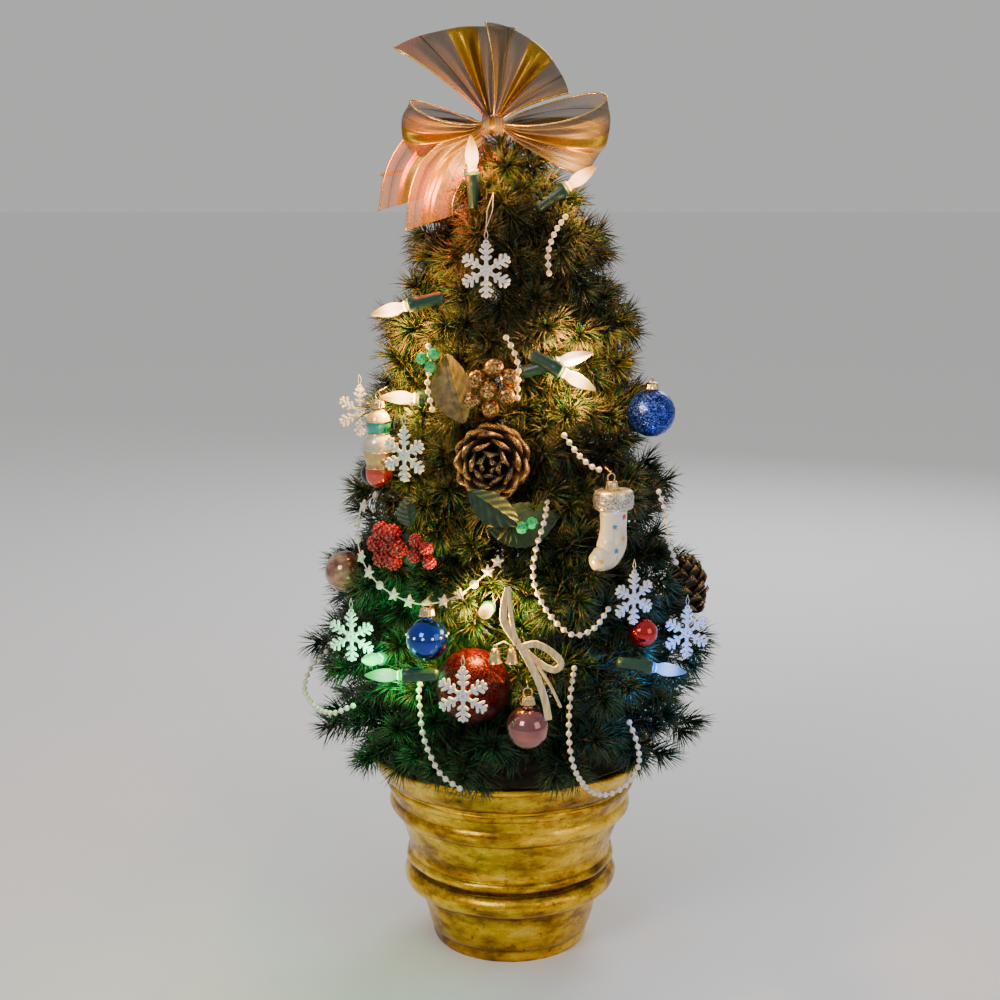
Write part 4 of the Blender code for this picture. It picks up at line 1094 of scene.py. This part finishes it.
def make_balls(gold):
    """Two miniature glass balls: blown necks, mirror lacquer, and a row of dots on the blue one."""
    for name, colour, slot in (("glass_ball_blue", (0.003, 0.045, 0.42), "glass_blue"),
                               ("glass_ball_rose", (0.34, 0.13, 0.14), "glass_rose")):
        _, out = make_cap(name, gold)
        low, high, middle = box(name)
        r = (high.x - low.x) / 2
        middle.z = low.z + r
        neck = high.z - middle.z
        profile = [(0.0, neck), (0.0030, neck), (0.0032, neck - 0.0006), (0.0034, r * 0.985)]
        profile = chaikin(profile + arc(0.0, 0.0, r, 70, -90, 36)[:-1] + [(0.0, -r)], 1)
        shape = placed(turned_points(profile, 72), at(middle))
        put(mesh_object(name + "_glass", *shape, mirror_glass(name + "_paint", colour)), swing(name), (name,), slot)
        if name == "glass_ball_blue":
            start = math.atan2(out.y, out.x)
            dots = []
            for i in range(14):
                a = start + 2 * math.pi * (i + 0.5) / 14
                spot = middle + Vector((math.cos(a) * math.cos(0.25), math.sin(a) * math.cos(0.25), 0.25)) * r * 0.99
                dots.append(placed(ball_shape(0.0009, 10, 6), at(spot)))
            put(joined("glass_ball_blue_dots", dots, metal("dots", (0.92, 0.80, 0.55), 0.3)), swing(name), (),
                "cap_gold")


def glitter_ball(name, body, node, paint, slot, lump=0.00018):
    """A ball rolled in flakes: fine bumps all over."""
    low, high, middle = box(node)
    r = (high.z - low.z) / 2
    points, faces = ball_shape(r, 96, 60)
    shaped = []
    for x, y, z in points:
        grain = math.sin(900 * x + 1.3) * math.sin(870 * y + 0.7) * math.sin(910 * z + 2.1)
        shaped.append(middle + Vector((x, y, z)) * (1 + lump * grain / r))
    put(mesh_object(name, shaped, faces, paint), body, (node,), slot)
    return middle, r


def make_glitter_balls(gold):
    name = "glitter_ball_blue"
    middle, r = glitter_ball(name + "_shell", swing(name), name,
                             glitter("blue_glitter", (0.004, 0.012, 0.28), (0.05, 0.16, 0.85)), "glitter_blue")
    pivot, out = hinge(name)
    shapes = [placed(crimped_cap(pivot.z - 0.0006 - middle.z, r * 0.985, 0.0040), at(middle)),
              ring_points(pivot, out, 0.0020, 0.0004)]
    put(joined(name + "_crown", shapes, gold), swing(name), (), "cap_gold")
    glitter_ball("glitter_ball_red_shell", ROOT, "glitter_ball_red",
                 glitter("red_glitter", (0.028, 0.001, 0.002), (0.22, 0.010, 0.010)), "glitter_red")
    copper = Paint("copper_glass", metallic=0.55, coat_weight=1.0, roughness=0.14)
    copper.feed("Base Color", copper.ramp(copper.noise(130.0, 5.0), [
        (0.32, (0.05, 0.022, 0.014)), (0.50, (0.24, 0.095, 0.055)), (0.62, (0.42, 0.24, 0.12)),
        (0.75, (0.62, 0.45, 0.30))]))
    glitter_ball("glass_ball_copper_shell", ROOT, "glass_ball_copper", copper.material, "copper_glass", 0.0)


def flake_bars(radius):
    """Bars of a snowflake in its own plane: each arm with three pairs of side branches and a blunt tip."""
    def toward(angle, length):
        return Vector((math.cos(angle), math.sin(angle))) * radius * length
    bars = []
    for i in range(6):
        a = math.radians(60 * i + 90)
        bars.append((Vector((0, 0)), toward(a, 0.97), 0.075))
        for share, length in ((0.40, 0.20), (0.62, 0.27), (0.84, 0.17)):
            for side in (-1, 1):
                start = toward(a, share)
                bars.append((start, start + toward(a + side * math.radians(56), length), 0.062))
        bars.append((toward(a, 0.20), toward(a + math.pi / 3, 0.20), 0.06))
    return bars


def bar_shape(start, end, half, thick):
    """A bar with rounded edges and ends, standing in the XZ plane."""
    along = (end - start).normalized()
    side = Vector((-along.y, along.x))
    stops = [(start - along * half * 0.8, 0.45), (start - along * half * 0.3, 0.92), (start, 1.0), (end, 1.0),
             (end + along * half * 0.4, 0.88), (end + along * half * 0.85, 0.45)]
    section = [(math.cos(math.radians(t)), math.sin(math.radians(t))) for t in (15, 60, 120, 165, 195, 240, 300, 345)]
    points = []
    for place, wide in stops:
        for c, s in section:
            flat = place + side * half * wide * c
            rise = math.copysign(min(1.0, abs(s) * 1.25), s) * thick / 2 * (0.7 + 0.3 * wide)
            points.append(Vector((flat.x, rise, flat.y)))
    return points, tube_faces(len(stops), len(section))


def thread_loop(low, high, slack):
    """Two fine threads from one point to another, a little apart half-way."""
    return [sweep([low, low.lerp(high, 0.5) + slack * turn, high], 0.00022, 5) for turn in (-1, 1)]


def make_snowflakes():
    """Moulded flakes with a frost of glitter, each on a loop of thread."""
    white, thread = frost(), plastic("flake_thread", (0.62, 0.60, 0.52), 0.5)
    for name in [n for n in frame["nodes"] if n.startswith("snowflake")]:
        pivot, out = hinge(name)
        low, high, middle = box(name)
        radius = (high.z - low.z) / 2
        points = node_points(name)
        normal = Vector(np.linalg.svd(points - points.mean(axis=0), full_matrices=False)[2][-1])
        out = normal if normal.dot(out) > 0 else -normal
        place = facing(middle, out)
        shapes = [placed(bar_shape(a, b, radius * half, 0.0020), place) for a, b, half in flake_bars(radius)]
        eye = ring_points(middle + UP * (radius + 0.0006), out, 0.0013, 0.0005, 18)
        put(joined(name + "_frost", shapes + [eye], white), swing(name), (name,), "frosted_white")
        tie = thread_loop(middle + UP * (radius + 0.0012), pivot, Vector((-out.y, out.x, 0.0)) * 0.0011)
        put(joined(name + "_thread", tie, thread), swing(name), (), "frosted_white")
    pivot, out = hinge("snowflake_top")
    high = Vector((pivot.x * 0.72, pivot.y * 0.72, pivot.z + 0.0200))
    loop = thread_loop(pivot, high, Vector((-out.y, out.x, 0.0)) * 0.0016)
    put(joined("snowflake_top_loop", loop, thread), ROOT, (), "frosted_white")


# Stars on the boot: share of the way down, turn about its axis, which paint
BOOT_STARS = ((0.30, 0.35, 0), (0.42, -0.45, 1), (0.56, 0.30, 2), (0.70, -0.15, 1), (0.80, 0.45, 0), (0.90, -0.30, 2))
# The boot's middle line and radius as shares of its height and width, from the cuff to the toe
BOOT_SPINE = ((0.0, 0.00, 0.45), (0.0, 0.05, 1.0), (0.0, 0.24, 1.06), (0.0, 0.30, 0.84), (0.0, 0.52, 0.80),
              (-0.02, 0.74, 0.92), (-0.10, 0.88, 0.86), (-0.24, 0.93, 0.70), (-0.36, 0.95, 0.42))
BOOT_TALL, BOOT_R = 0.0440, 0.0104


def make_boot(gold):
    """A blown glass boot: pearl lacquer, a glittered cuff and a scatter of coloured stars."""
    pivot, out = make_cap("boot", gold)
    _, high, _ = box("boot")
    marks = [Vector((x * BOOT_TALL, 0.0, -z * BOOT_TALL)) for x, z, _ in BOOT_SPINE]
    route = smooth_route(marks, 0.0011)
    walked = [route_length(marks[:i + 1]) for i in range(len(marks))]
    stations = [route_length(route[:i + 1]) for i in range(len(route))]
    radii = np.interp(stations, walked, [s * BOOT_R for _, _, s in BOOT_SPINE])
    radii[-1] *= 0.55
    place = facing(Vector((pivot.x, pivot.y, high.z)), out) @ at((0.002, 0.0, 0.0))
    glass = toned("boot_glass", (0.66, 0.60, 0.44), (0.86, 0.84, 0.74), (70.0,), metallic=0.25, coat_weight=1.0,
                  coat_roughness=0.05, roughness=0.22)
    leg = placed(sweep(route[3:], radii[3:], 40, 0.8), place)
    put(joined("boot_glass", [leg], glass), swing("boot"), ("boot",), "pearl_glass")
    make_boot_cuff(place)
    colours = {"star_red": (0.55, 0.04, 0.03), "star_blue": (0.04, 0.22, 0.42), "star_gold": (0.75, 0.45, 0.08)}
    for tone, (name, colour) in enumerate(colours.items()):
        stars = []
        for share, turn, which in BOOT_STARS:
            if which == tone:
                i = int(share * (len(route) - 1))
                look = Vector((math.sin(turn), -math.cos(turn), 0.0))
                shift = Vector((radii[i] * look.x, radii[i] * 0.8 * look.y - 0.0001, 0.0))
                stars.append(placed(star_points(route[i] + shift, look, 0.0019, 5, 0.0005), place))
        put(joined("boot_stars_%d" % tone, stars, plastic(name, colour, 0.3), False), swing("boot"), (), "pearl_glass")


def make_boot_cuff(place):
    profile = [(0.0, 0.0), (BOOT_R * 0.8, 0.0002)]
    for i in range(17):
        bulge = 1.0 + 0.20 * math.sin(math.pi * i / 16) ** 0.4
        profile.append((BOOT_R * 1.02 * bulge, -0.0002 - 0.0115 * i / 16))
    points, faces = turned_points(profile + [(0.0, -0.0117)], 72)
    fluffy = [place @ Vector((x * (1 + 0.02 * math.sin(1900 * z + 5 * math.atan2(y, x))), y * 0.86, z))
              for x, y, z in points]
    frosty = glitter("cuff_glitter", (0.66, 0.62, 0.52), (1.0, 0.98, 0.92), 2200.0)
    put(mesh_object("boot_cuff", fluffy, faces, frosty), swing("boot"), (), "pearl_glass")


# The banded ornament's outline from the top: share of its height, share of its radius
DROP_OUTLINE = ((0.0, 0.30), (0.02, 0.40), (0.06, 0.60), (0.10, 0.72), (0.16, 0.80), (0.22, 0.80), (0.27, 0.70),
                (0.30, 0.66), (0.34, 0.76), (0.38, 0.90), (0.44, 0.98), (0.50, 1.0), (0.56, 0.98), (0.62, 0.92),
                (0.67, 0.80), (0.70, 0.77), (0.75, 0.83), (0.80, 0.87), (0.85, 0.85), (0.90, 0.80), (0.95, 0.64),
                (0.985, 0.36))


def make_banded_drop(gold):
    """A tall blown ornament with painted bands, swelling and drawn in along its height."""
    name = "banded_drop"
    make_cap(name, gold)
    low, high, middle = box(name)
    tall, r = high.z - low.z, (high.x - low.x) / 2
    profile = chaikin([(0.0, 0.0)] + [(r * share, -tall * z) for z, share in DROP_OUTLINE] + [(0.0, -tall)], 2)
    place = at((middle.x, middle.y, high.z))
    paint = Paint("banded_glass", metallic=0.55, coat_weight=1.0, coat_roughness=0.04, roughness=0.16)
    gilt, green = (0.85, 0.62, 0.28), (0.02, 0.36, 0.32)
    bands = paint.ramp(paint.attribute("down"), [
        (0.00, gilt), (0.14, gilt), (0.16, green), (0.30, green), (0.32, (0.86, 0.80, 0.66)),
        (0.52, (0.80, 0.70, 0.50)), (0.55, (0.62, 0.34, 0.12)), (0.72, (0.72, 0.40, 0.14)),
        (0.76, (0.70, 0.07, 0.02)), (1.00, (0.60, 0.04, 0.015))])
    cloud = paint.ramp(paint.noise(240.0), [(0.3, 0.7), (0.7, 1.0)])
    paint.feed("Base Color", paint.blend(1.0, bands, cloud, "MULTIPLY"))
    drop = mesh_object(name + "_glass", *placed(turned_points(profile, 64), place), paint.material)
    float_layer(drop, "down", [(high.z - v.co.z) / tall for v in drop.data.vertices])
    put(drop, swing(name), (name,), "banded_glass")
    lines = []
    for share in (0.155, 0.31, 0.535, 0.74):
        ring_r = r * np.interp(share, *zip(*DROP_OUTLINE)) * 1.01
        turns = [2 * math.pi * i / 40 for i in range(41)]
        lines.append(sweep([place @ Vector((ring_r * math.cos(a), ring_r * math.sin(a), -tall * share))
                            for a in turns], 0.00042, 6))
    put(joined(name + "_lines", lines, gold), swing(name), (), "banded_glass")


def make_bells(gold):
    """Two small bells with open mouths and clappers, on one loop of cream cord."""
    pivot, out = hinge("bells")
    shapes, ties = [], []
    for name in ("bell_left", "bell_right"):
        low, high, middle = box(name)
        tall, r = high.z - low.z, (high.x - low.x) / 2
        top = Vector((middle.x, middle.y, high.z))
        outer = chaikin([(0.0, 0.0), (r * 0.35, -tall * 0.01), (r * 0.60, -tall * 0.12), (r * 0.70, -tall * 0.40),
                         (r * 0.76, -tall * 0.65), (r * 0.90, -tall * 0.88), (r, -tall * 0.98)], 2)
        inner = [(a * 0.90, z) for a, z in reversed(outer[:-4])]
        profile = outer + [(r * 0.95, -tall)] + inner[:-1] + [(0.0, -tall * 0.10)]
        shapes += [placed(turned_points(profile, 48), at(top)),
                   placed(ball_shape(0.0011, 16, 10), at((middle.x, middle.y, low.z + 0.0012))),
                   ring_points(top + UP * 0.0009, out, 0.0011, 0.0003, 16)]
        top = top + UP * 0.0016
        ties.append(sweep([top, top.lerp(pivot, 0.5), pivot], 0.0004, 6))
    put(joined("bell_pair", shapes, gold), swing("bells"), ("bell_left", "bell_right"), "cap_gold")
    put(joined("bell_ties", ties, plastic("bell_tie", (0.80, 0.70, 0.45), 0.4)), swing("bells"), (), "cap_gold")


# ---------------------------------------------------------------- fixed trimmings
# The satin ribbon's strips from its knot, and their widths: side loop, two tails, tall hanging loop
SATIN_STRIPS = mm((
    (((1, 0, 0), (9, -2, 2), (18, -1, -3), (23.5, 1, -10), (20, 2, -14.5), (12, 2, -11), (1, 0, -1)), 4.0),
    (((1, 0, -1), (5, -3, -8), (10, -5, -18), (14, -7, -30), (16, -8, -41)), 4.2),
    (((10, -1, -11), (17, -2, -22), (23.5, -1, -36)), 1.6),
    (((-1, 1, 1), (-5, 2, 7), (-9, 5, 14), (-8.5, 9, 23), (-6.2, 13, 31)), 4.0),
    (((0, 1, 1), (-3, 2, 7), (-5, 6, 19), (-6, 13, 32)), 2.6)))


def strip(line, width, normal):
    """A flat ribbon along a line, its face towards a direction, with a little thickness."""
    path = smooth_route(line, 0.0012)
    half, thick, points = width / 2, 0.00022, []
    section = ((-1, -0.5), (-0.6, 0.9), (0.6, 0.9), (1, -0.5), (0.6, -1.2), (-0.6, -1.2))
    for i, place in enumerate(path):
        along = heading_at(path, i)
        side = along.cross(Vector(normal))
        side = side.normalized() if side.length > 1e-4 else Vector((1, 0, 0))
        up = side.cross(along).normalized()
        points += [place + side * half * a + up * thick * b for a, b in section]
    return points, tube_faces(len(path), len(section))


def make_satin_bow():
    """The narrow ribbon over the bells: a side loop, a tall hanging loop, two long tails and a knot."""
    low, high, middle = box("satin_bow")
    place = facing(Vector((low.x + 0.0140, middle.y, high.z - 0.0090)), (0.04, -0.999, 0.0))
    satin = toned("cream_satin", (0.46, 0.34, 0.15), (0.72, 0.58, 0.32), (500.0, 2.0, 0.5, (1, 1, 0.15)),
                  ((2400.0, 1.0), 0.15, 0.0002), None, (0.35, 0.65), roughness=0.32, sheen_weight=0.5, anisotropic=0.5)
    shapes = [placed(strip(line, width, (0.0, -1.0, 0.25)), place) for line, width in SATIN_STRIPS]
    shapes.append(placed(ball_shape(0.0022, 20, 12), place @ Matrix.Diagonal((1.0, 0.7, 0.9, 1.0))))
    put(joined("satin_ribbon", shapes, satin), ROOT, ("satin_bow",), "cream_satin")


def cone_scale(length, width, curl):
    """One woody scale: a curved spoon from the axis outwards along +X, thick at its tip."""
    rows, columns = 8, 6
    points, edge = [], []
    for side in (1, -1):
        for i in range(rows + 1):
            s = i / rows
            half = width / 2 * (0.30 + 0.70 * math.sin(min(1.0, s * 1.15) * math.pi / 2)) * (1 - 0.55 * s ** 7)
            for v in spaced(columns):
                lift = curl * length * s * s - 0.16 * width * v * v * s
                thick = 0.055 * width * (0.6 + 1.6 * s ** 3) * (1 - 0.7 * v * v)
                points.append((length * (s - 0.10 * v * v * s), half * v, lift + side * thick))
                edge.append(max(0.0, (s - 0.72) / 0.28))
    layer, wide = (rows + 1) * (columns + 1), columns + 1
    top = grid_faces(rows, columns)
    faces = [tuple(reversed(f)) for f in top] + [tuple(i + layer for i in f) for f in top]
    rim = list(range(wide)) + [i * wide + columns for i in range(1, rows + 1)]
    rim += [rows * wide + j for j in range(columns - 1, -1, -1)] + [i * wide for i in range(rows - 1, 0, -1)]
    faces += [(a, b, b + layer, a + layer) for a, b in zip(rim, rim[1:] + rim[:1])]
    return points, faces, edge


def make_cone(name, place, radius, length, count, paint):
    """Scales set by the golden angle from the splayed base to the closed tip; local +Z is the cone's tip."""
    core = turned_points(chaikin([(0.0, length * 0.92), (radius * 0.20, length * 0.80), (radius * 0.36, length * 0.40),
                                  (radius * 0.30, 0.001), (0.0, 0.0)], 2), 24)
    shapes, edges = [placed(core, place)], [0.0] * len(core[0])
    for i in range(count):
        share = (i + 0.5) / count
        swell = math.sin(math.pi * (0.20 + 0.70 * share)) ** 0.8
        open_angle = math.radians(8 + 66 * share ** 1.3)
        points, faces, edge = cone_scale(radius * (0.80 * swell + 0.10), radius * (0.78 - 0.36 * share), 0.30)
        root = Matrix.Rotation(i * GOLDEN_ANGLE, 4, "Z") @ at((radius * 0.10, 0.0, length * (0.05 + 0.72 * share)))
        shapes.append(placed((points, faces), place @ root @ Matrix.Rotation(-open_angle, 4, "Y")))
        edges += edge
    cone = joined(name + "_scales", shapes, paint)
    float_layer(cone, "edge", edges)
    put(cone, ROOT, (name,), "cone_brown")


def make_cones():
    p = Paint("cone_wood")
    wood = p.ramp(p.noise(420.0, 5.0), [(0.3, (0.010, 0.004, 0.002)), (0.6, (0.034, 0.014, 0.007)),
                                        (0.8, (0.075, 0.034, 0.017))])
    flakes = p.ramp(p.noise(1500.0, 2.0), [(0.52, 0.0), (0.60, 1.0)])
    gilt = p.times(p.ramp(p.attribute("edge"), [(0.55, 0.0), (0.95, 1.0)]), flakes)
    p.feed("Base Color", p.blend(gilt, wood, (0.70, 0.42, 0.13)))
    p.feed("Metallic", p.times(gilt, 0.9))
    p.feed("Roughness", p.ramp(gilt, [(0.0, 0.75), (1.0, 0.28)]))
    p.bump(p.noise(700.0), 0.5, 0.0006)
    _, _, middle = box("pine_cone_front")
    out = outward(middle)
    make_cone("pine_cone_front", pointing(middle - out * 0.018, out), 0.0275, 0.036, 40, p.material)
    low, _, middle = box("pine_cone_side")
    make_cone("pine_cone_side", at((middle.x, middle.y, low.z)), 0.0180, 0.042, 52, p.material)


MORE_BERRIES = mm(((-56, -96, 290), (-50, -99, 286), (-57, -96.5, 281), (-48, -100, 278)))
GILT_NUTS = mm(((-20, -98, 385), (-10, -100, 392), (-1, -99, 386), (-13, -101, 379), (-23, -98, 373), (-3, -101, 376),
                (-12, -96, 368)))
JEWELS = mm(((6, -116, 302), (11.5, -115, 304.5), (-52, -86, 396), (-47, -88, 391), (-45, -88, 398.5)))


def berry_shape(middle, radius, grain, count=34):
    """A beaded berry: beads over a sphere by the golden angle."""
    shapes = [placed(ball_shape(radius * 0.80, 16, 10), at(middle))]
    for i in range(count):
        z = 1 - 2 * (i + 0.5) / count
        turn, wide = i * GOLDEN_ANGLE, math.sqrt(1 - z * z)
        spot = middle + Vector((wide * math.cos(turn), wide * math.sin(turn), z)) * radius * 0.84
        shapes.append(placed(ball_shape(grain, 9, 6), at(spot)))
    return shapes


def make_berries():
    """Red beaded berries round a middle one, gold nuts over the cone, and green jewels."""
    _, _, middle = box("berry_flower")
    out = outward(middle)
    place = facing(middle, out)
    red = toned("berry_red", (0.12, 0.001, 0.002), (0.46, 0.004, 0.004), (350.0,), coat_weight=0.4,
                coat_roughness=0.08, roughness=0.25)
    shapes = berry_shape(middle + out * 0.001, 0.0052, 0.0012)
    for i in range(6):
        turn = 2 * math.pi * i / 6
        shift = Vector((math.cos(turn), -0.15, math.sin(turn))) * 0.0056 * 1.75
        shapes += berry_shape(place @ shift, 0.0056, 0.0013)
    for spot in MORE_BERRIES:
        shapes += berry_shape(Vector(spot), 0.0042, 0.0010)
    put(joined("berry_beads", shapes, red), ROOT, ("berry_flower",), "berry_red")
    shapes = []
    for k, spot in enumerate(GILT_NUTS):
        points, faces = ball_shape(0.0050, 28, 18)
        bumpy = [(x * (1 + 0.05 * math.sin(4 * math.atan2(y, x) + k)), y * (1 + 0.05 * math.sin(4500 * z)), z * 1.12)
                 for x, y, z in points]
        shapes.append(placed((bumpy, faces), at(spot) @ Matrix.Rotation(k * 1.1, 4, "Y")))
    nuts = glitter("gilt_nut", (0.34, 0.15, 0.035), (0.85, 0.52, 0.18), 1300.0)
    put(joined("gilt_nuts", shapes, nuts), ROOT, (), "cap_gold")
    jewel = Paint("green_jewel", roughness=0.08, coat_weight=1.0, ior=1.6)
    jewel.feed("Base Color", jewel.ramp(jewel.cells(700.0)["Distance"],
                                        [(0.1, (0.002, 0.10, 0.03)), (0.6, (0.01, 0.45, 0.14))]))
    shapes = [placed(ball_shape(0.0038, 7, 4), at(spot)) for spot in JEWELS]
    put(joined("green_jewels", shapes, jewel.material, False), ROOT, (), "bulb_green")


def make_leaf(name, place, length, width, paint, node, slot, cup=0.18, teeth=9):
    """A wired cloth leaf: pointed, toothed, cupped along its midrib, drooping at the tip; local +Z is its tip."""
    rows, columns = 26, 14
    points = []
    for i in range(rows + 1):
        s = i / rows
        half = width / 2 * math.sin(math.pi * min(1.0, s * 0.97 + 0.015)) ** 0.75
        half *= 1 + 0.07 * abs(math.sin(teeth * math.pi * s))
        for v in spaced(columns):
            vein = 0.00035 * math.cos(2 * math.pi * (6 * s - 1.6 * abs(v))) * (abs(v) > 0.06)
            crease = -0.0008 * math.exp(-(v / 0.09) ** 2)
            lift = -cup * half * abs(v) ** 1.5 * 2 + 0.16 * length * s * s - 0.05 * length
            points.append(place @ Vector((half * v, lift + vein - crease, length * s)))
    leaf = put(mesh_object(name, points, grid_faces(rows, columns), paint), ROOT, (node,) if node else (), slot)
    rib = sweep(points[columns // 2::columns + 1], [0.0005 - 0.0003 * i / rows for i in range(rows + 1)], 6)
    wire_rib = put(joined(name + "_rib", [rib], paint), ROOT, (), slot)


def make_leaves():
    olive = cloth_leaf("olive_leaf", (0.07, 0.045, 0.008), (0.26, 0.17, 0.03))
    dark = cloth_leaf("dark_leaf", (0.002, 0.012, 0.004), (0.009, 0.045, 0.014))
    for node, roll, size, paint in (("leaf_olive", 20.0, (0.041, 0.024), olive),
                                    ("leaf_dark", -84.0, (0.042, 0.026), dark)):
        middle = box(node)[2]
        out = outward(middle)
        turn = facing(middle + out * 0.001, out) @ Matrix.Rotation(-math.radians(roll), 4, "Y")
        make_leaf(node + "_cloth", turn @ at((0.0, 0.0, -0.020)), *size, paint, node, node)
    for name, spot, out, roll, size in (
            ("leaf_dark_left", mm((-24, -108, 322)), (-0.25, -0.97, 0.0), 236.0, (0.034, 0.018)),
            ("leaf_berry", mm((-61, -84, 293)), (-0.60, -0.80, 0.1), 188.0, (0.022, 0.014)),
            ("leaf_berry_top", mm((-59, -85, 296)), (-0.50, -0.86, 0.1), 20.0, (0.018, 0.014))):
        make_leaf(name, facing(Vector(spot), Vector(out)) @ Matrix.Rotation(-math.radians(roll), 4, "Y"), *size, dark,
                  None, "leaf_dark", 0.10, 4)


def make_small_balls():
    """Small balls tucked between the needles, one dark and one red."""
    for name, spot, r, paint, slot in (
            ("ball_dark", mm((-83, -56, 323)), 0.0080, mirror_glass("dark_glass", (0.010, 0.022, 0.020)),
             "copper_glass"),
            ("ball_red", mm((79, -84, 231)), 0.0090, mirror_glass("red_glass", (0.60, 0.02, 0.015)), "glitter_red")):
        put(mesh_object(name, *placed(ball_shape(r, 56, 32), at(spot)), paint), ROOT, (), slot)


make_camera()
make_garlands()
make_studio()
make_pot()
make_plug()
make_bow()
make_lamps()
make_foliage()
GOLD = metal("cap_metal", (0.86, 0.62, 0.28), 0.2)
make_balls(GOLD)
make_glitter_balls(GOLD)
make_snowflakes()
make_boot(GOLD)
make_banded_drop(GOLD)
make_bells(GOLD)
make_satin_bow()
make_cones()
make_berries()
make_leaves()
make_small_balls()
